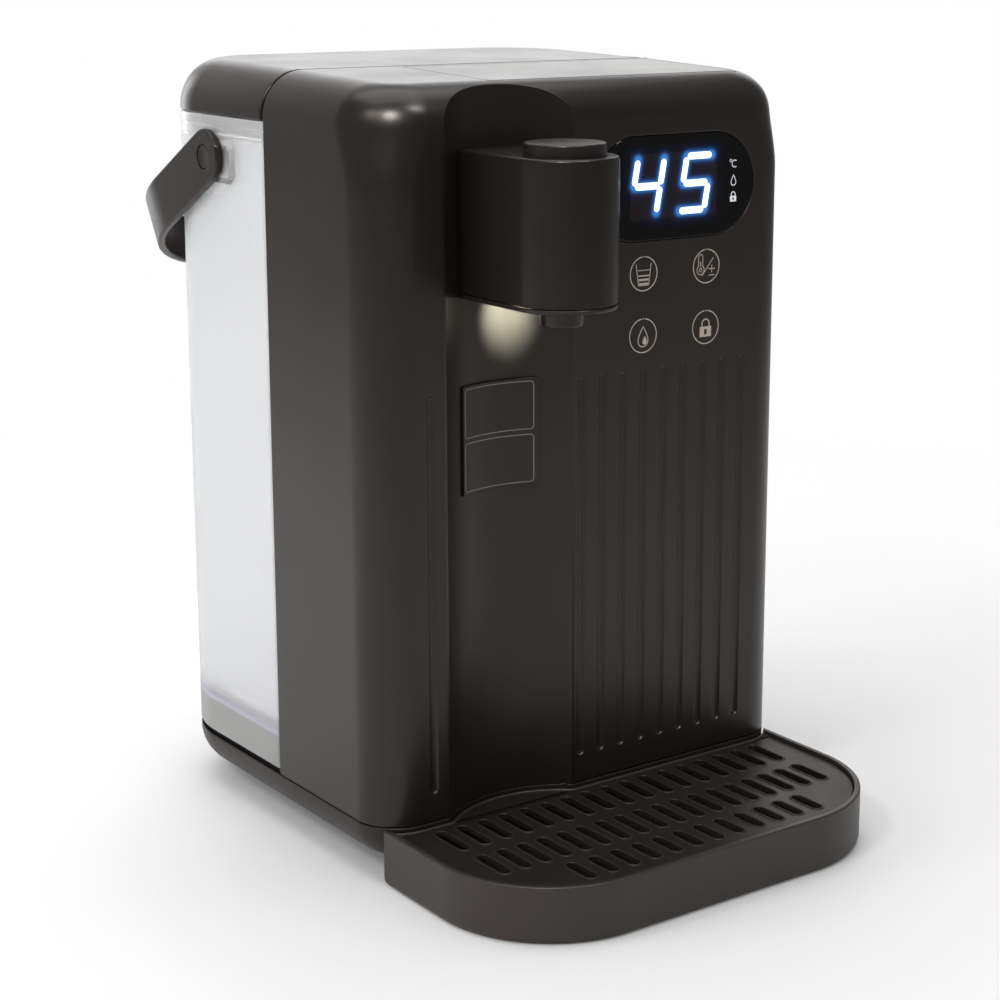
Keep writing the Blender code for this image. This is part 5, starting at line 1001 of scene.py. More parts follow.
plate_form = bmesh.new()
plate_levels = []
for inset, lift in ((0, 0.0003), (0, 0.0009), (0.00010, 0.00106), (0.0003, 0.0011)):
    low_row, high_row = channel_patch(
        CHANNEL_X - PLATE_HALF + inset, CHANNEL_X + PLATE_HALF - inset, PLATE_Z[0] + inset, PLATE_Z[1] - inset, lift,
    )
    plate_levels.append([plate_form.verts.new(point) for point in low_row + high_row[::-1]])
walled(plate_form, plate_levels)
for level in (plate_levels[0], plate_levels[-1]):
    for i in range(24):
        plate_form.faces.new((level[i], level[i + 1], level[-2 - i], level[-1 - i]))
bmesh.ops.recalc_face_normals(plate_form, faces=plate_form.faces)
channel_badge = as_object("channel_badge", plate_form)
broken_edges(channel_badge, 0)
dress(channel_badge, satin_brown, "dispenser_body", "dark_plastic", "channel_plate")


def frame_line(low_x, high_x, low_z, high_z, width):
    """A thin rounded frame printed on the plate."""
    form = bmesh.new()
    rows = []
    for inset in (0, width):
        points = rounded_frame(low_x + inset, high_x - inset, low_z + inset, high_z - inset, 0.0016 - inset)
        row = []
        for i, (x, z) in enumerate(points):
            after = points[(i + 1) % len(points)]
            pieces = 24 if abs(after[0] - x) > 0.005 else 1
            for j in range(pieces):
                point = (x + (after[0] - x) * j / pieces, z + (after[1] - z) * j / pieces)
                row.append(form.verts.new(on_channel(*point, PLATE_PRINT_LIFT)))
        rows.append(row)
    walled(form, rows)
    return form


plate_frames = as_object("plate_frames", gathered([
    frame_line(CHANNEL_X - 0.0168, CHANNEL_X + 0.0160, PLATE_MIDDLE_Z + 0.0009, PLATE_Z[1] - 0.0012, 0.00035),
    frame_line(CHANNEL_X - 0.0168, CHANNEL_X + 0.0160, PLATE_Z[0] + 0.0012, PLATE_MIDDLE_Z - 0.0009, 0.00035),
]))
grey_ink = printing_ink("dim printing ink", (0.17, 0.16, 0.15), (0.21, 0.20, 0.185))
dress(plate_frames, grey_ink, "dispenser_body", "dark_plastic")


# ---- Spout -------------------------------------------------------------------------------
# A hollow nose that stands out of the channel, half round in front, closed underneath by a
# plate. Both are in the housing's ABS, and the nose carries a round button, a nozzle and a lamp.
SPOUT_HALF = 0.020
NOSE_Y = FACE_Y - 0.034
SPOUT_LOW_Z, COVER_TOP_Z = [corner.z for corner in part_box("spout_cover")]
SPOUT_SEAM_Z, SPOUT_TOP_Z = [corner.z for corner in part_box("spout_housing")]
SPOUT_WALL = 0.002
NOZZLE_Y = FACE_Y - 0.0325
LAMP_Y = FACE_Y - 0.0120
BUTTON_HOLE_RADIUS = 0.0155
NOZZLE_HOLE_RADIUS = 0.0089
LAMP_HOLE_RADIUS = 0.0051


def nose(inset):
    """The nose's plan, with its rear end bent to the channel."""
    radius = SPOUT_HALF - inset
    points = ring_points(CHANNEL_X, NOSE_Y, radius, 180, 360, 72)
    back = CHANNEL_RADIUS - 0.0003
    for i in range(17):
        x = radius * (1 - 2 * i / 16)
        points.append((CHANNEL_X + x, CHANNEL_Y + math.sqrt(back ** 2 - x ** 2)))
    return points


def nose_hollow(inset):
    radius = SPOUT_HALF - inset
    front = ring_points(CHANNEL_X, NOSE_Y, radius, 180, 360, 48)
    return front + [(CHANNEL_X + radius, FACE_Y + 0.02), (CHANNEL_X - radius, FACE_Y + 0.02)]


def disc(x, y, radius, low_z, high_z, steps=72):
    return prism(ring_points(x, y, radius, 0, 360, steps)[:-1], low_z, high_z)


nose_profile = low_rim(0.0003, SPOUT_SEAM_Z, 2) + top_rim(0.0011, SPOUT_TOP_Z, 6)
spout_nose = as_object("spout_nose", stacked(nose, nose_profile))
carve(spout_nose, prism(nose_hollow(SPOUT_WALL), SPOUT_SEAM_Z - PAST, SPOUT_TOP_Z - SPOUT_WALL))
carve(spout_nose, disc(CHANNEL_X, NOSE_Y, BUTTON_HOLE_RADIUS, SPOUT_TOP_Z - 0.006, SPOUT_TOP_Z + PAST, 96))
broken_edges(spout_nose, 0.00025)
# The nose takes a darker copy of the housing's ABS: its lower tone is painted shade for the nose's sides, which lie in
# shade
nose_shade_brown = moulded_plastic(
    "satin brown nose ABS with painted shade", (0.0088, 0.0068, 0.0059), (0.0108, 0.0085, 0.0074), 0.28, 0.34, 0.00006, gloss=0.38,
)
dress(spout_nose, nose_shade_brown, "dispenser_body", "dark_plastic", "spout_housing")

floor_profile = low_rim(0.0008, SPOUT_LOW_Z, 4) + top_rim(0.0003, COVER_TOP_Z, 2)
spout_floor = as_object("spout_floor", stacked(nose, floor_profile))
for y, radius in ((NOZZLE_Y, NOZZLE_HOLE_RADIUS), (LAMP_Y, LAMP_HOLE_RADIUS)):
    carve(spout_floor, disc(CHANNEL_X, y, radius, SPOUT_LOW_Z - PAST, COVER_TOP_Z + PAST))
broken_edges(spout_floor, 0.0002)
dress(spout_floor, satin_brown, "dispenser_body", "dark_plastic", "spout_cover")


def spun(name, profile, place, axis=(0, 0, 1), steps=96):
    """A turned piece. Its profile of (radius, height) runs from the top down its outer side."""
    turn = Vector((0, 0, 1)).rotation_difference(Vector(axis)).to_matrix()
    form = bmesh.new()
    rows = []
    for radius, height in profile:
        if radius < 1e-6:
            rows.append([form.verts.new(turn @ Vector((0, 0, height)) + Vector(place))])
            continue
        rows.append([
            form.verts.new(turn @ Vector((x, y, height)) + Vector(place))
            for x, y in ring_points(0, 0, radius, 0, 360, steps)[:-1]
        ])
    for high, low in zip(rows, rows[1:]):
        for i in range(steps):
            j = (i + 1) % steps
            corners = [high[i % len(high)], low[i % len(low)], low[j % len(low)], high[j % len(high)]]
            unique = []
            for corner in corners:
                if corner not in unique:
                    unique.append(corner)
            if len(unique) > 2:
                form.faces.new(unique)
    made = as_object(name, form)
    broken_edges(made, 0)
    return made


def arc(radius, centre_r, centre_z, start, end, steps=6):
    """Part of a turned profile's rounding."""
    turns = [math.radians(start + (end - start) * i / steps) for i in range(steps + 1)]
    return [(centre_r + radius * math.cos(turn), centre_z + radius * math.sin(turn)) for turn in turns]


BUTTON_TOP_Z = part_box("top_button")[1].z
BUTTON_LOW_Z = BUTTON_TOP_Z - 0.0090
push_button = spun(
    "push_button",
    [(0, BUTTON_TOP_Z - 0.00035), (0.0090, BUTTON_TOP_Z - 0.00030), (0.0128, BUTTON_TOP_Z - 0.0001)]
    + arc(0.0009, 0.0143, BUTTON_TOP_Z - 0.0009, 100, 0, 8)
    + [(0.0152, BUTTON_LOW_Z + 0.0012), (0.0168, BUTTON_LOW_Z + 0.0012), (0.0168, BUTTON_LOW_Z),
       (0.0022, BUTTON_LOW_Z), (0.0022, BUTTON_LOW_Z - 0.0028), (0, BUTTON_LOW_Z - 0.0028)],
    (CHANNEL_X, NOSE_Y, 0),
)
dress(push_button, satin_brown, "button", "dark_plastic", "top_button")

NOZZLE_LOW_Z, NOZZLE_TOP_Z = [corner.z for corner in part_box("outlet_nozzle")]
outlet = spun(
    "outlet",
    [(0.0024, NOZZLE_TOP_Z), (0.0044, NOZZLE_TOP_Z), (0.0044, COVER_TOP_Z + 0.0019), (0.0108, COVER_TOP_Z + 0.0019),
     (0.0108, COVER_TOP_Z + 0.0003), (0.0086, COVER_TOP_Z + 0.0003)]
    + arc(0.0009, 0.0072, NOZZLE_LOW_Z + 0.0009, 0, -90, 6)
    + arc(0.0006, 0.0056, NOZZLE_LOW_Z + 0.0006, -90, -180, 4)
    + [(0.0050, COVER_TOP_Z + 0.0003), (0.0024, COVER_TOP_Z + 0.0019), (0.0024, NOZZLE_TOP_Z)],
    (CHANNEL_X, NOZZLE_Y, 0),
)
dress(outlet, satin_brown, "dispenser_body", "dark_plastic", "outlet_nozzle")

# The lamp that lights the cup: a small moulded lens in the spout's floor with a warm diode behind it
LAMP_LOW_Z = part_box("lamp_lens")[0].z
warm_lens, tree, shader = material_nodes("warm lamp lens", {
    "Base Color": (0.95, 0.90, 0.78, 1), "Roughness": 0.25,
    "Emission Color": (1.0, 0.86, 0.55, 1), "Emission Strength": 12.0,
})
cup_lamp = spun(
    "cup_lamp",
    [
        (0, COVER_TOP_Z + 0.0013), (0.0060, COVER_TOP_Z + 0.0013), (0.0060, COVER_TOP_Z + 0.0003),
        (0.0048, COVER_TOP_Z + 0.0003), (0.0048, LAMP_LOW_Z + 0.0005), (0.0044, LAMP_LOW_Z + 0.0001),
        (0.0030, LAMP_LOW_Z), (0, LAMP_LOW_Z),
    ],
    (CHANNEL_X, LAMP_Y, 0), steps=48,
)
dress(cup_lamp, warm_lens, "dispenser_body", "lamp_clear", "lamp_lens")

cup_glow = bpy.data.lights.new("cup_glow", "SPOT")
cup_glow.energy = 1.6
cup_glow.color = (0.88, 1.0, 0.84)
cup_glow.shadow_soft_size = 0.0025
cup_glow.spot_size = math.radians(62)
cup_glow.spot_blend = 1.0
glow_place = bpy.data.objects.new("cup_glow", cup_glow)
glow_place.location = (CHANNEL_X, LAMP_Y, LAMP_LOW_Z - 0.0006)
glow_place.rotation_euler = Vector((0.005, 0.023, -0.0085)).to_track_quat("-Z", "Y").to_euler()
glow_place.visible_camera = False
bpy.context.scene.collection.objects.link(glow_place)


# ---- Base --------------------------------------------------------------------------------
# A shallow dish moulded in the same brown ABS under the housing and the tank, its underside
# drawn in with a large round, with two rails for the tray and a flat boss for the cord's gland.
REAR_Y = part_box("base_housing")[1].y
BASE_LOW_Z = 0.008
BASE_TOP_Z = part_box("base_housing")[1].z
REAR_CORNER = 0.0455
BASE_ROUND = 0.014
BASE_WALL = 0.0022
base_brown = moulded_plastic(
    "satin brown base ABS", (0.0150, 0.0122, 0.0110), (0.0185, 0.0152, 0.0136), 0.38, 0.46, 0.00007, gloss=0.30,
)


def body_plan(inset):
    return outline(HALF_WIDTH - inset, FACE_Y + inset, REAR_Y - inset, FRONT_CORNER - inset, REAR_CORNER - inset)


base_profile = low_rim(BASE_ROUND, BASE_LOW_Z, 14) + top_rim(0.0005, BASE_TOP_Z, 3)
base_dish = as_object("base_dish", stacked(body_plan, base_profile))
hollow_profile = low_rim(BASE_ROUND - BASE_WALL, BASE_LOW_Z + BASE_WALL, 8) + [(0, BASE_TOP_Z + PAST)]
dish_hollow = as_object("hollow", stacked(body_plan, drawn_in(BASE_WALL, hollow_profile)))
carve(dish_hollow, channel_cutter(BASE_WALL, 0, BASE_TOP_Z + 0.02))
carve(base_dish, back_to_form(dish_hollow))
carve(base_dish, channel_cutter(0, 0, BASE_TOP_Z + 0.02))
GLAND_X = 0.040
GLAND_Z = 0.0146
GLAND_BOSS_HALF = 0.0078
GLAND_BORE_RADIUS = 0.0047
FOOT_HOLE_RADIUS = 0.0039
RAIL_X = (0.0308, 0.0332)
RAIL_Y = (FACE_Y + 0.0253, FACE_Y + 0.0653)
RAIL_LOW_Z = 0.0015
FEET = {
    "foot_front_left": (-0.070, FACE_Y + 0.040), "foot_rear_left": (-0.070, FACE_Y + 0.145),
    "foot_front_right": (0.070, FACE_Y + 0.040), "foot_rear_right": (0.070, FACE_Y + 0.145),
}


def set_at(form, turn, place):
    """Turns a form about the origin and moves it to its place."""
    bmesh.ops.rotate(form, cent=(0, 0, 0), matrix=turn, verts=form.verts)
    bmesh.ops.translate(form, verts=form.verts, vec=place)
    return form


carve(base_dish, block(
    (GLAND_X - GLAND_BOSS_HALF, REAR_Y - 0.0110, 0.0086), (GLAND_X + GLAND_BOSS_HALF, REAR_Y - 0.0003, 0.0202),
), "UNION")
carve(base_dish, set_at(
    disc(0, 0, GLAND_BORE_RADIUS, -PAST, 0.015, 48), Matrix.Rotation(math.pi / 2, 3, "X"), (GLAND_X, REAR_Y, GLAND_Z),
))
carve(base_dish, gathered([disc(x, y, FOOT_HOLE_RADIUS, 0.004, 0.014, 32) for x, y in FEET.values()]))
rails = []
for side in (-1, 1):
    near, far = sorted(side * x for x in RAIL_X)
    rails.append(block((near, RAIL_Y[0], RAIL_LOW_Z), (far, RAIL_Y[1], BASE_LOW_Z + 0.001)))
carve(base_dish, gathered(rails), "UNION")
broken_edges(base_dish, 0.0003)
dress(base_dish, base_brown, "dispenser_body", "dark_plastic", "base_housing")

# Painted shade: the deck's strip behind the seam lies in the tank's shade, and is painted near black and matt
painted_shade_black = moulded_plastic(
    "painted shade matt black ABS", (0.0030, 0.0027, 0.0026), (0.0045, 0.0041, 0.0039), 0.62, 0.72, 0.00005, gloss=0.08,
)
base_dish.data.materials.append(painted_shade_black)
for face in base_dish.data.polygons:
    if face.normal.z > 0.9 and face.center.z > BASE_TOP_Z - 0.0009 and face.center.y > SEAM_Y:
        face.material_index = 1

# Feet: black rubber buttons pushed into the base; the gland is a rubber bush for the cord
soft_rubber = moulded_plastic(
    "black rubber", (0.012, 0.012, 0.012), (0.020, 0.020, 0.020), 0.62, 0.80, 0.00008,
    grains=2200.0, gloss=0.35, shine=NEUTRAL_SHINE,
)
for name, (x, y) in FEET.items():
    foot = spun(
        "rubber_" + name,
        [(0, 0.0119), (0.0034, 0.0119), (0.0036, 0.0116), (0.0036, 0.0077)] + arc(0.0006, 0.0084, 0.0071, 90, 0, 4)
        + arc(0.0010, 0.0080, 0.0010, 0, -90, 5) + [(0.0060, 0), (0.0052, 0.0005), (0, 0.0005)],
        (x, y, 0), steps=64,
    )
    dress(foot, soft_rubber, "dispenser_body", "rubber", name)
cord_bush = spun(
    "cord_bush",
    [(0.0031, 0.0030)] + arc(0.0007, 0.0051, 0.0023, 90, 0, 5)
    + [(0.0058, 0.0), (0.0044, 0.0), (0.0044, -0.0070), (0.0031, -0.0070), (0.0031, 0.0030)],
    (GLAND_X, REAR_Y, GLAND_Z), axis=(0, 1, 0), steps=64,
)
dress(cord_bush, soft_rubber, "dispenser_body", "rubber", "cord_gland")


# ---- Drip tray and grille ----------------------------------------------------------------
# The tray is a deep dish in a slightly lighter brown that slides onto the base's rails. Its
# grille is a dark plate with three rows of slots, each with a raised rim, and lifts out.
TRAY_HALF = 0.098
TRAY_FRONT_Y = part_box("drip_tray")[0].y
TRAY_TOP_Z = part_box("drip_tray")[1].z
TRAY_REAR_Y = FACE_Y + 0.010
TRAY_CORNER = 0.050
TRAY_WALL = 0.0024
WELL_WALL = 0.0050
WELL_GAP = 0.0032
grille_low, grille_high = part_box("drip_grille")
GRILLE_LOW_Z = grille_low.z
GRILLE_TOP_Z = grille_high.z
GRILLE_REAR_Y = grille_high.y
GRILLE_EDGE = TRAY_WALL + 0.0005
CHANNEL_FOOT_HALF = 0.038
SLOT_WIDTH = 0.0047
SLOT_ROWS = ((0.0155, 0.0204, 17, 0.0100), (0.0430, 0.0198, 18, 0.0094), (0.0668, 0.0157, 12, 0.0103))
tray_brown = moulded_plastic(
    "satin brown tray ABS", (0.0330, 0.0272, 0.0243), (0.0380, 0.0318, 0.0285), 0.40, 0.48, 0.00007, gloss=0.36,
)
grille_brown = moulded_plastic(
    "dark grille ABS", (0.0165, 0.0133, 0.0121), (0.0195, 0.0160, 0.0146), 0.42, 0.52, 0.00006, gloss=0.26,
)


def tray_plan(rear_y):
    def plan(inset):
        return outline(TRAY_HALF - inset, TRAY_FRONT_Y + inset, rear_y, TRAY_CORNER - inset, 0.0004, 32)
    return plan


def base_outline(gap):
    """The base's plan with a gap round it."""
    return outline(HALF_WIDTH + gap, FACE_Y - gap, REAR_Y, FRONT_CORNER + gap, REAR_CORNER)


def base_clearance(gap):
    """What the base takes up, with a gap round it, for the tray to fit against."""
    solid = as_object("clearance", prism(base_outline(gap), -PAST, TRAY_TOP_Z + PAST))
    carve(solid, channel_cutter(-gap, -2 * PAST, TRAY_TOP_Z + 2 * PAST))
    return back_to_form(solid)


ledge_z = GRILLE_LOW_Z - 0.0003
tray_profile = low_rim(0.003, 0, 6) + top_rim(0.0007, TRAY_TOP_Z, 4)
tray_dish = as_object("tray_dish", stacked(tray_plan(TRAY_REAR_Y), tray_profile))
well_profile = low_rim(0.003, 0.0022, 5) + [(0, ledge_z + PAST)]
well = as_object("well", stacked(tray_plan(TRAY_REAR_Y + PAST), drawn_in(WELL_WALL, well_profile)))
carve(well, prism(base_outline(WELL_GAP), -PAST, 0.04))
carve(tray_dish, base_clearance(0.0008))
carve(tray_dish, back_to_form(well))
carve(tray_dish, prism(tray_plan(GRILLE_REAR_Y + 0.0005)(TRAY_WALL), ledge_z, TRAY_TOP_Z + PAST))
carve(tray_dish, prism(tray_plan(TRAY_REAR_Y + PAST)(TRAY_WALL), GRILLE_TOP_Z, TRAY_TOP_Z + PAST))
carve(tray_dish, block((-0.030, FACE_Y - 0.0020, 0.0012), (0.030, FACE_Y + 0.030, 0.0062)), "UNION")
broken_edges(tray_dish, 0.0003)
dress(tray_dish, tray_brown, "tray", "tray_plastic", "drip_tray")

# The level faces in the channel's foot, behind the grille, are as dark as the grille
tray_dish.data.materials.append(grille_brown)
for face in tray_dish.data.polygons:
    level = face.normal.z > 0.9 and face.center.z > GRILLE_LOW_Z - 0.001
    if level and face.center.y > GRILLE_REAR_Y and abs(face.center.x - CHANNEL_X) < CHANNEL_FOOT_HALF:
        face.material_index = 1

# A low bead along the tray's rear edge follows the housing's foot, round its corners and into the channel
BEAD_HALF = 0.0008
BEAD_FROM_HOUSING = 0.0015
BEAD_SECTION = [
    (-1.0, -1.6), (-1.0, 0.35), (-0.75, 0.80), (-0.3, 1.0), (0.3, 1.0), (0.75, 0.80), (1.0, 0.35), (1.0, -1.6),
]
bead_corner = ring_points(
    HALF_WIDTH - FRONT_CORNER, FACE_Y + FRONT_CORNER, FRONT_CORNER + BEAD_FROM_HOUSING, 338, 270, 16,
)
bead_path = bead_corner + channel_edge(-BEAD_FROM_HOUSING) + [(-x, y) for x, y in reversed(bead_corner)]
bead_path = [point for point in bead_path if abs(point[0]) < TRAY_HALF - TRAY_WALL / 2]
bead_rings = []
for i, (x, y) in enumerate(bead_path):
    after = bead_path[min(i + 1, len(bead_path) - 1)]
    before = bead_path[max(i - 1, 0)]
    along = Vector((after[0] - before[0], after[1] - before[1])).normalized()
    bead_rings.append([
        (x - along.y * a * BEAD_HALF, y + along.x * a * BEAD_HALF, GRILLE_TOP_Z + b * BEAD_HALF)
        for a, b in BEAD_SECTION
    ])
rear_bead = as_object("rear_bead", lofted(bead_rings))
broken_edges(rear_bead, 0)
dress(rear_bead, tray_brown, "tray", "tray_plastic")

slots = []
for from_face, long, count, pitch in SLOT_ROWS:
    for i in range(count):
        slots.append(((i - (count - 1) / 2) * pitch, FACE_Y - from_face, long))

grille_profile = drawn_in(GRILLE_EDGE, low_rim(0.0002, GRILLE_LOW_Z, 2) + top_rim(0.0005, GRILLE_TOP_Z, 4))
slotted_grille = as_object("slotted_grille", stacked(tray_plan(GRILLE_REAR_Y - 0.0016), grille_profile))


def slot_cutter(x, y, long):
    ring = [(x + b, y + a) for a, b in stadium(long, SLOT_WIDTH, 10)]
    return prism(ring, GRILLE_LOW_Z - 0.002, GRILLE_TOP_Z + 0.002)


carve(slotted_grille, gathered([slot_cutter(*slot) for slot in slots]))
broken_edges(slotted_grille, 0)
dress(slotted_grille, grille_brown, "grille", "grille_plastic", "drip_grille")

RIM_HEIGHT = 0.00030
# The rim's section from the slot outwards, as distances from its wall and heights over the grille
RIM_SECTION = (
    (0.00005, -0.0003), (0.00008, RIM_HEIGHT * 0.6), (0.00030, RIM_HEIGHT),
    (0.00070, RIM_HEIGHT), (0.00095, RIM_HEIGHT * 0.5), (0.0011, -0.0001),
)
rim_form = bmesh.new()
for x, y, long in slots:
    rows = []
    for out, height in RIM_SECTION:
        path = stadium(long + 2 * out, SLOT_WIDTH + 2 * out, 12)
        rows.append([rim_form.verts.new((x + b, y + a, GRILLE_TOP_Z + height)) for a, b in path])
    walled(rim_form, rows)
bmesh.ops.recalc_face_normals(rim_form, faces=rim_form.faces)
slot_rims = as_object("slot_rims", rim_form)
slot_rims.data.shade_smooth()
rim_brown = moulded_plastic(
    "rubbed rim ABS", (0.0205, 0.0168, 0.0152), (0.0240, 0.0200, 0.0182), 0.46, 0.54, 0.00004, gloss=0.24,
)
dress(slot_rims, rim_brown, "grille", "grille_plastic")


# ---- Water tank --------------------------------------------------------------------------
# A lightly frosted clear moulding with straight front corners and large rear ones, open at the
# top. Its floor stands above a recess, and two bosses inside its walls take the bail's pins.
tank_low, tank_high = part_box("water_tank")
TANK_FRONT_Y = tank_low.y
TANK_LOW_Z = tank_low.z
TANK_TOP_Z = tank_high.z
TANK_WALL = 0.0026
TANK_FLOOR_Z = 0.0402
TANK_FLOOR = 0.0036
pin_low, pin_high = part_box("bail_pin_left")
PIVOT_Y = (pin_low.y + pin_high.y) / 2
PIVOT_Z = (pin_low.z + pin_high.z) / 2
PIN_BORE_RADIUS = 0.0033
DOCK_Y = FACE_Y + 0.131


def tank_plan(inset):
    return outline(HALF_WIDTH - inset, TANK_FRONT_Y + inset, REAR_Y - inset, 0.0012, REAR_CORNER - inset, 28)


def side_discs(radius, near, far):
    """A disc on the bail's axis at either side, from near to far outside the middle."""
    return gathered([
        set_at(disc(0, 0, radius, near, far, 48), Matrix.Rotation(side * math.pi / 2, 3, "Y"), (0, PIVOT_Y, PIVOT_Z))
        for side in (-1, 1)
    ])


rim_grooves = [(0, PIVOT_Z - 0.0100)]
for z in (TANK_TOP_Z - 0.0088, TANK_TOP_Z - 0.0046):
    rim_grooves += [(0, z), (0.0004, z + 0.0003), (0.0004, z + 0.0008), (0, z + 0.0011)]
tank_profile = low_rim(0.0006, TANK_LOW_Z, 3) + rim_grooves + top_rim(0.0008, TANK_TOP_Z, 4)
clear_tank = as_object("clear_tank", stacked(tank_plan, tank_profile))
inside = low_rim(0.004, TANK_FLOOR_Z + TANK_FLOOR, 6) + [
    (0, z) for z in (PIVOT_Z - 0.0100, PIVOT_Z + 0.0080, TANK_TOP_Z + PAST)
]
carve(clear_tank, stacked(tank_plan, drawn_in(TANK_WALL, inside)))
recess = [(0, TANK_LOW_Z - PAST)] + top_rim(0.002, TANK_FLOOR_Z, 4)
carve(clear_tank, stacked(tank_plan, drawn_in(TANK_WALL, recess)))
carve(clear_tank, side_discs(0.0068, HALF_WIDTH - 0.011, HALF_WIDTH - TANK_WALL / 2), "UNION")
carve(clear_tank, side_discs(PIN_BORE_RADIUS, HALF_WIDTH - 0.0084, HALF_WIDTH + PAST))
carve(clear_tank, disc(0, DOCK_Y, 0.0120, TANK_FLOOR_Z - PAST, TANK_FLOOR_Z + TANK_FLOOR + PAST))
broken_edges(clear_tank, 0.0002)

frosted_clear, tree, shader = material_nodes("frosted clear plastic", {"Transmission Weight": 0.72, "IOR": 1.45})
height = put(tree, "ShaderNodeSeparateXYZ")
tree.links.new(put(tree, "ShaderNodeTexCoord").outputs["Object"], height.inputs["Vector"])


def band_mask(value, low, high):
    """A mask that rises smoothly from nought to one between two values."""
    made = soft_range(tree, low, high)
    tree.links.new(value, made.inputs["Value"])
    return made.outputs["Result"]


rim_mask = band_mask(height.outputs["Z"], TANK_TOP_Z - 0.0095, TANK_TOP_Z - 0.0085)
from_axis = put(tree, "ShaderNodeVectorMath", operation="DISTANCE")
from_axis.inputs[1].default_value = (0, PIVOT_Y, PIVOT_Z)
flattened = put(tree, "ShaderNodeVectorMath", operation="MULTIPLY")
flattened.inputs[1].default_value = (0, 1, 1)
tree.links.new(height.inputs["Vector"].links[0].from_socket, flattened.inputs[0])
tree.links.new(flattened.outputs[0], from_axis.inputs[0])
boss_mask = band_mask(from_axis.outputs["Value"], 0.0175, 0.0145)
clear_share = put(tree, "ShaderNodeMath", operation="MAXIMUM")
tree.links.new(rim_mask, clear_share.inputs[0])
tree.links.new(boss_mask, clear_share.inputs[1])
clear_rim = put(tree, "ShaderNodeMix", data_type="FLOAT")
clear_rim.inputs[3].default_value = 0.10
tree.links.new(clear_share.outputs[0], clear_rim.inputs[0])
tree.links.new(marked(tree, 0.46, 0.54, 12.0), clear_rim.inputs[2])
tree.links.new(clear_rim.outputs[0], shader.inputs["Roughness"])
# Painted shade at the tank's foot: the wall below the floor, round the recess, is painted a darker grey, and a lavender
# band is painted where the floor's edge shows through the wall; above the floor the wall has its own pale tone
painted_foot_band = put(tree, "ShaderNodeMix", data_type="RGBA")
painted_foot_band.inputs[6].default_value = (0.58, 0.58, 0.57, 1)
painted_foot_band.inputs[7].default_value = (0.80, 0.79, 0.90, 1)
floor_mask = band_mask(height.outputs["Z"], TANK_FLOOR_Z - 0.0004, TANK_FLOOR_Z + 0.0002)
tree.links.new(floor_mask, painted_foot_band.inputs["Factor"])
wall_tint = put(tree, "ShaderNodeMix", data_type="RGBA")
wall_tint.inputs[7].default_value = (0.95, 0.955, 0.965, 1)
wall_low_z = TANK_FLOOR_Z + TANK_FLOOR
wall_mask = band_mask(height.outputs["Z"], wall_low_z - 0.0003, wall_low_z + 0.0006)
tree.links.new(wall_mask, wall_tint.inputs["Factor"])
tree.links.new(painted_foot_band.outputs[2], wall_tint.inputs[6])
tree.links.new(wall_tint.outputs[2], shader.inputs["Base Color"])
grain = put(tree, "ShaderNodeGroup", node_tree=moulded_grain, grains_per_metre=2600.0)
raised(tree, shader, grain.outputs["Height"], 0.2, 0.00005)
dress(clear_tank, frosted_clear, "tank", "clear_plastic", "water_tank")

# Two polished lugs with bevelled faces back the bail's arms on the tank's sides
polished_clear, tree, shader = material_nodes("polished clear plastic", {"Transmission Weight": 0.60, "IOR": 1.49})
tree.links.new(marked(tree, 0.05, 0.09, 60.0), shader.inputs["Roughness"])
# Painted light and shade: each facet's colour is lighter the more it faces up and darker the more it faces down
lie = put(tree, "ShaderNodeSeparateXYZ")
tree.links.new(put(tree, "ShaderNodeTexCoord").outputs["Normal"], lie.inputs["Vector"])
facet_light_and_shade = put(tree, "ShaderNodeValToRGB")
shade_stop, highlight_stop = facet_light_and_shade.color_ramp.elements
shade_stop.position = 0.30
shade_stop.color = (0.16, 0.16, 0.17, 1)
highlight_stop.position = 0.62
highlight_stop.color = (0.93, 0.93, 0.92, 1)
half_light_stop = facet_light_and_shade.color_ramp.elements.new(0.48)
half_light_stop.color = (0.52, 0.52, 0.53, 1)
facing = put(tree, "ShaderNodeMapRange", from_min=-1.0, from_max=1.0)
tree.links.new(lie.outputs["Z"], facing.inputs["Value"])
tree.links.new(facing.outputs["Result"], facet_light_and_shade.inputs["Fac"])
tree.links.new(facet_light_and_shade.outputs["Color"], shader.inputs["Base Color"])
LUG_FRONT = 0.0185
LUG_HALF = 0.0088
LUG_PROUD = 0.0010
lug_rings = []
for inset, out in ((0, -0.0004), (0, 0.0001), (0.0017, LUG_PROUD), (0.0030, LUG_PROUD), (0.0042, LUG_PROUD - 0.0006)):
    half = LUG_HALF - inset
    nip = 0.0034 - inset * 0.4
    front = -LUG_FRONT + inset
    lug_rings.append([
        (HALF_WIDTH + out, PIVOT_Y + y, PIVOT_Z - 0.0014 + z) for y, z in (
            (front + nip, -half), (0.004 - inset, -half), (0.004 - inset, half),
            (front + nip, half), (front, half - nip), (front, nip - half),
        )
    ])
for side, name in ((-1, "left"), (1, "right")):
    lug = as_object("bail_lug_" + name, lofted([[(side * x, y, z) for x, y, z in ring] for ring in lug_rings]))
    broken_edges(lug, 0.00012)
    dress(lug, polished_clear, "tank", "clear_plastic")


# ---- Lid ---------------------------------------------------------------------------------
# A hollow cover in the housing's ABS that carries on the housing's roof over the tank. Its
# skirt drops inside the tank's rim and carries a rubber ring.
LID_LOW_Z = 0.291
LID_SKIRT_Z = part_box("tank_lid")[0].z
LID_TOP_Z = SHELL_TOP_Z
LID_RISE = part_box("tank_lid")[1].z - SHELL_TOP_Z
LID_WALL = 0.0065
LID_SEAM = 0.0010
SKIRT_INSET = 0.0036
GROOVE_DEPTH = 0.0012


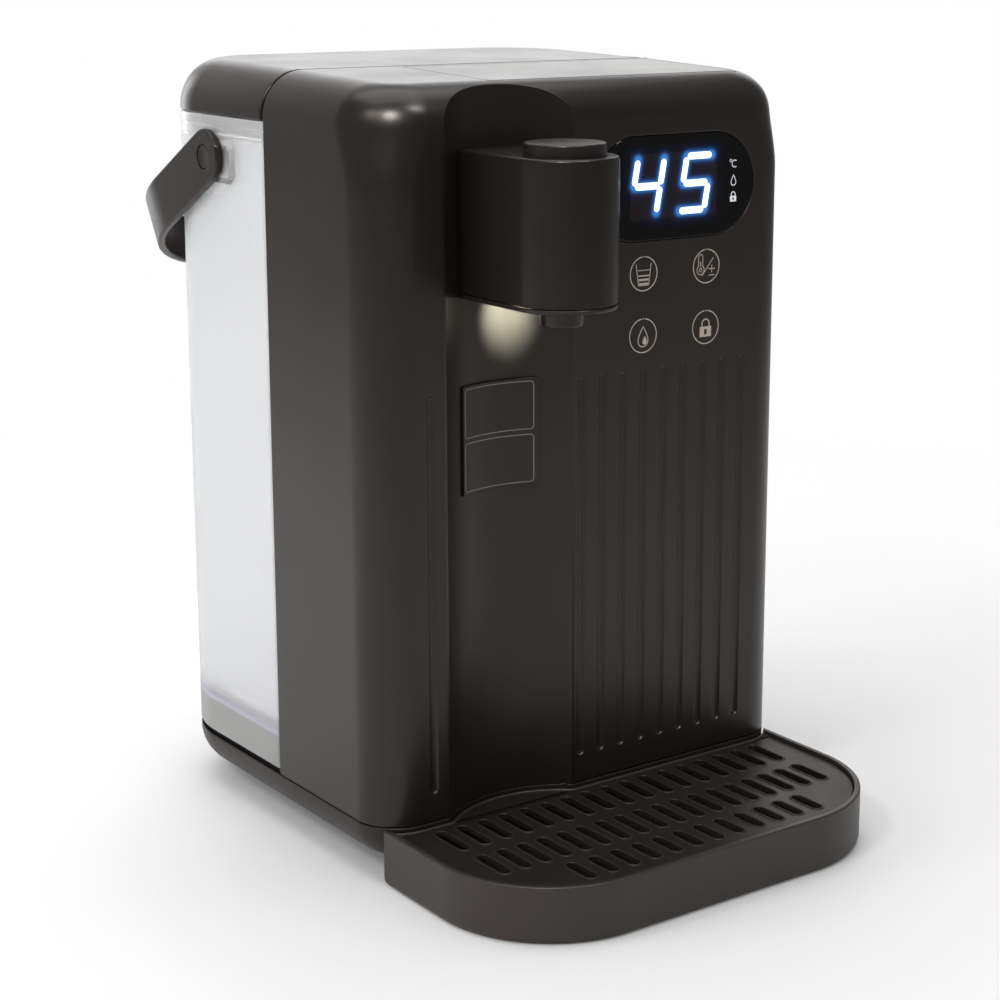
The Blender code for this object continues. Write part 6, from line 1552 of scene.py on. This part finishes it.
def lid_plan(inset):
    return outline(HALF_WIDTH - inset, TANK_FRONT_Y + LID_SEAM, REAR_Y - inset, 0.0008, REAR_CORNER - inset, 28)


def skirt_plan(inset):
    return outline(HALF_WIDTH - inset, TANK_FRONT_Y + inset, REAR_Y - inset, 0.0006, REAR_CORNER - inset, 28)


def lid_lean(form):
    return lean(
        form, LID_TOP_Z - TOP_ROUND, LID_TOP_Z, lambda y: (y - TANK_FRONT_Y) / (REAR_Y - TANK_FRONT_Y) * LID_RISE,
    )


lid_profile = low_rim(0.0006, LID_LOW_Z, 4) + top_rim(TOP_ROUND, LID_TOP_Z, 20)
tank_cover = as_object("tank_cover", lid_lean(stacked(lid_plan, lid_profile)))
carve(tank_cover, prism(skirt_plan(SKIRT_INSET), LID_SKIRT_Z, LID_LOW_Z + PAST), "UNION")
lid_hollow = [(0, LID_SKIRT_Z - PAST)] + top_rim(TOP_ROUND - LID_WALL, LID_TOP_Z - LID_WALL / 2, 10)
carve(tank_cover, stacked(skirt_plan, drawn_in(LID_WALL, lid_hollow)))
groove = as_object("groove", prism(skirt_plan(0), LID_SKIRT_Z + 0.0019, LID_SKIRT_Z + 0.0049))
carve(groove, prism(skirt_plan(SKIRT_INSET + GROOVE_DEPTH), LID_SKIRT_Z, LID_LOW_Z))
carve(tank_cover, back_to_form(groove))
broken_edges(tank_cover, 0.0003)
dress(tank_cover, satin_brown, "lid", "dark_plastic", "tank_lid")


# ---- Carrying bail -----------------------------------------------------------------------
# A wide flat band bent to a U, moulded in brown plastic with rolled edges, that swings on two
# snap pins in the tank's walls and rests aslant behind the tank.
BAIL_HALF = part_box("tank_bail")[1].x
BAIL_ANGLE = math.radians(29.2)
BAIL_THICKNESS = 0.0032
BAIL_WIDTH = 0.0224
BAIL_LENGTH = 0.0963
BAIL_CORNER = 0.052
BAIL_EDGE = 0.0011


def band_section(half_width, half_thick, edge, steps=5):
    """The band's section, across its thickness and its width, with rolled edges."""
    edge = min(edge, half_thick * 0.95, half_width * 0.95)
    points = []
    for sx, sz, start in ((1, -1, 270), (1, 1, 0), (-1, 1, 90), (-1, -1, 180)):
        for i in range(steps + 1):
            turn = math.radians(start + 90 * i / steps)
            points.append((
                sx * (half_thick - edge) + edge * math.cos(turn), sz * (half_width - edge) + edge * math.sin(turn),
            ))
    return points


centre_half = BAIL_HALF - BAIL_THICKNESS / 2
centre_reach = BAIL_LENGTH - BAIL_THICKNESS / 2
centre_corner = BAIL_CORNER - BAIL_THICKNESS / 2
route = []
for i in range(13):
    turn = math.radians(90 * i / 12)
    route.append((centre_half, -BAIL_WIDTH / 2 * math.cos(turn), (1, 0), BAIL_WIDTH / 2 * max(0.12, math.sin(turn))))
for i in range(1, 7):
    route.append((centre_half, (centre_reach - centre_corner) * i / 6, (1, 0), BAIL_WIDTH / 2))
for i in range(1, 49):
    turn = math.radians(90 * i / 48)
    route.append((
        centre_half - centre_corner * (1 - math.cos(turn)), centre_reach - centre_corner * (1 - math.sin(turn)),
        (math.cos(turn), math.sin(turn)), BAIL_WIDTH / 2,
    ))
route += [(-x, y, (-nx, ny), half) for x, y, (nx, ny), half in reversed(route)]
to_pivot = Matrix.Translation((0, PIVOT_Y, PIVOT_Z)) @ Matrix.Rotation(-BAIL_ANGLE, 4, "X")
band_rings = []
for x, y, (nx, ny), half in route:
    section = band_section(half, BAIL_THICKNESS / 2, BAIL_EDGE)
    band_rings.append([to_pivot @ Vector((x + nx * out, y + ny * out, beside)) for out, beside in section])
carrying_bail = as_object("carrying_bail", lofted(band_rings))
carve(carrying_bail, side_discs(0.0051, BAIL_HALF - 0.0015, BAIL_HALF + PAST))
carve(carrying_bail, side_discs(PIN_BORE_RADIUS, HALF_WIDTH, BAIL_HALF + PAST))
broken_edges(carrying_bail, 0.0002)
dress(carrying_bail, satin_brown, "bail", "dark_plastic", "tank_bail")

for side, name in ((-1, "left"), (1, "right")):
    top = BAIL_HALF - HALF_WIDTH - 0.0003
    pin = spun(
        "snap_pin_" + name,
        [(0, top - 0.0002), (0.0030, top - 0.0001)] + arc(0.0004, 0.0044, top - 0.0004, 90, 0, 4)
        + [(0.0048, top - 0.0012), (0.0030, top - 0.0012), (0.0030, -0.0078), (0.0027, -0.0081), (0, -0.0081)],
        (side * HALF_WIDTH, PIVOT_Y, PIVOT_Z), axis=(side, 0, 0), steps=48,
    )
    dress(pin, satin_brown, "bail", "dark_plastic", "bail_pin_" + name)


# ---- Inner pieces ------------------------------------------------------------------------
# What the housing, the tank and the base hold: wall, deck, socket and valve mouldings, boards,
# heater, pump, hoses, seals, springs and screws. They keep their solids' shapes and get finishes.
black_nylon = moulded_plastic(
    "black nylon", (0.010, 0.010, 0.011), (0.016, 0.016, 0.017), 0.42, 0.52, 0.00008,
    grains=2600.0, gloss=0.4, shine=NEUTRAL_SHINE,
)
white_acetal = moulded_plastic(
    "white acetal", (0.66, 0.66, 0.64), (0.74, 0.74, 0.72), 0.34, 0.44, 0.00004,
    grains=3000.0, shine=NEUTRAL_SHINE,
)
milky_silicone, tree, shader = material_nodes("milky silicone hose", {
    "Transmission Weight": 0.45, "IOR": 1.41, "Roughness": 0.38,
})
toned(tree, shader, (0.74, 0.74, 0.71), (0.82, 0.82, 0.80), grains=900.0)

turned_steel, tree, shader = material_nodes("turned steel", {"Metallic": 1.0})
place = put(tree, "ShaderNodeTexCoord").outputs["Object"]
lines = put(tree, "ShaderNodeMapping")
lines.inputs["Scale"].default_value = (60, 60, 2600)
tree.links.new(place, lines.inputs["Vector"])
lay = noise(tree, lines.outputs["Vector"], detail=3.0)
lay.inputs["Scale"].default_value = 1.0
tree.links.new(spread(tree, lay.outputs["Fac"], 0.22, 0.40), shader.inputs["Roughness"])
toned(tree, shader, (0.52, 0.52, 0.51), (0.62, 0.62, 0.61))
raised(tree, shader, lay.outputs["Fac"], 0.2, 0.00002)

green_board, tree, shader = material_nodes("green solder mask", {"Roughness": 0.32, "Coat Weight": 0.3})
place = put(tree, "ShaderNodeTexCoord").outputs["Object"]
tracks = put(tree, "ShaderNodeTexVoronoi", feature="DISTANCE_TO_EDGE", scale=260.0)
tree.links.new(place, tracks.inputs["Vector"])
track_share = put(tree, "ShaderNodeMapRange", from_min=0.04, from_max=0.07)
tree.links.new(tracks.outputs["Distance"], track_share.inputs["Value"])
mask = put(tree, "ShaderNodeMix", data_type="RGBA")
mask.inputs[6].default_value = (0.030, 0.190, 0.080, 1)
mask.inputs[7].default_value = (0.014, 0.105, 0.045, 1)
tree.links.new(track_share.outputs["Result"], mask.inputs["Factor"])
tree.links.new(mask.outputs[2], shader.inputs["Base Color"])
raised(tree, shader, track_share.outputs["Result"], 0.3, 0.00003)


def wound_spring(name, node, wire, turns, body):
    """A coil in place of a plain spring."""
    low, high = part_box(node)
    middle = (low + high) / 2
    radius = (high.x - low.x) / 2 - wire
    long = high.z - low.z
    steps = 28
    rings = []
    for i in range(turns * steps + 1):
        turn = 2 * math.pi * i / steps
        out = Vector((math.cos(turn), math.sin(turn), 0))
        rise = min(max((i / (turns * steps) - 0.06) / 0.88, 0.0), 1.0)
        height = low.z + wire + (long - 2 * wire) * rise
        ring = []
        for k in range(8):
            angle = 2 * math.pi * k / 8
            level = Vector((middle.x, middle.y, height + wire * math.sin(angle)))
            ring.append(level + out * (radius + wire * math.cos(angle)))
        rings.append(ring)
    spring = as_object(name, lofted(rings))
    spring.data.shade_smooth()
    dress(spring, turned_steel, body, "steel", node)
    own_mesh(spring)


wound_spring("button_coil", "button_spring", 0.0005, 4, "dispenser_body")
wound_spring("valve_coil", "valve_spring", 0.00028, 4, "tank")

INNER_FINISHES = {
    satin_brown: ("rear_bulkhead", "button_bracket"),
    # The tank deck takes the painted shade black too, as it lies in shade under the tank
    painted_shade_black: ("tank_deck",),
    black_nylon: ("dock_socket", "pump_body", "pump_cover", "button_switch", "display_board"),
    white_acetal: ("valve_body", "valve_plunger", "pump_impeller"),
    milky_silicone: ("tank_hose", "pump_hose", "outlet_hose"),
    soft_rubber: ("dock_seal", "valve_seal", "lid_seal"),
    green_board: ("touch_board", "power_board", "lamp_board"),
    turned_steel: (
        "heater", "heater_bracket", "thermostat", "deck_screw_1", "deck_screw_2",
        "bulkhead_screw_1", "bulkhead_screw_2", "bulkhead_screw_3", "bulkhead_screw_4",
    ),
}
ROUND_PIECES = ("tank_hose", "pump_hose", "outlet_hose")
for finish, names in INNER_FINISHES.items():
    for name in names:
        node = frame["nodes"][name]
        for material_slot in node.material_slots:
            material_slot.material = finish
        weld = node.modifiers.new("weld", "WELD")
        weld.merge_threshold = 0.00001
        if name in ROUND_PIECES:
            smooth = node.modifiers.new("smooth", "SUBSURF")
            smooth.levels = 1
            smooth.render_levels = 1
            continue
        edge = node.modifiers.new("broken edge", "BEVEL")
        edge.limit_method = "ANGLE"
        edge.angle_limit = math.radians(40)
        edge.width = 0.00022
        edge.segments = 2
        edge.use_clamp_overlap = True
        shade = node.modifiers.new("flat shading", "WEIGHTED_NORMAL")
        shade.keep_sharp = True
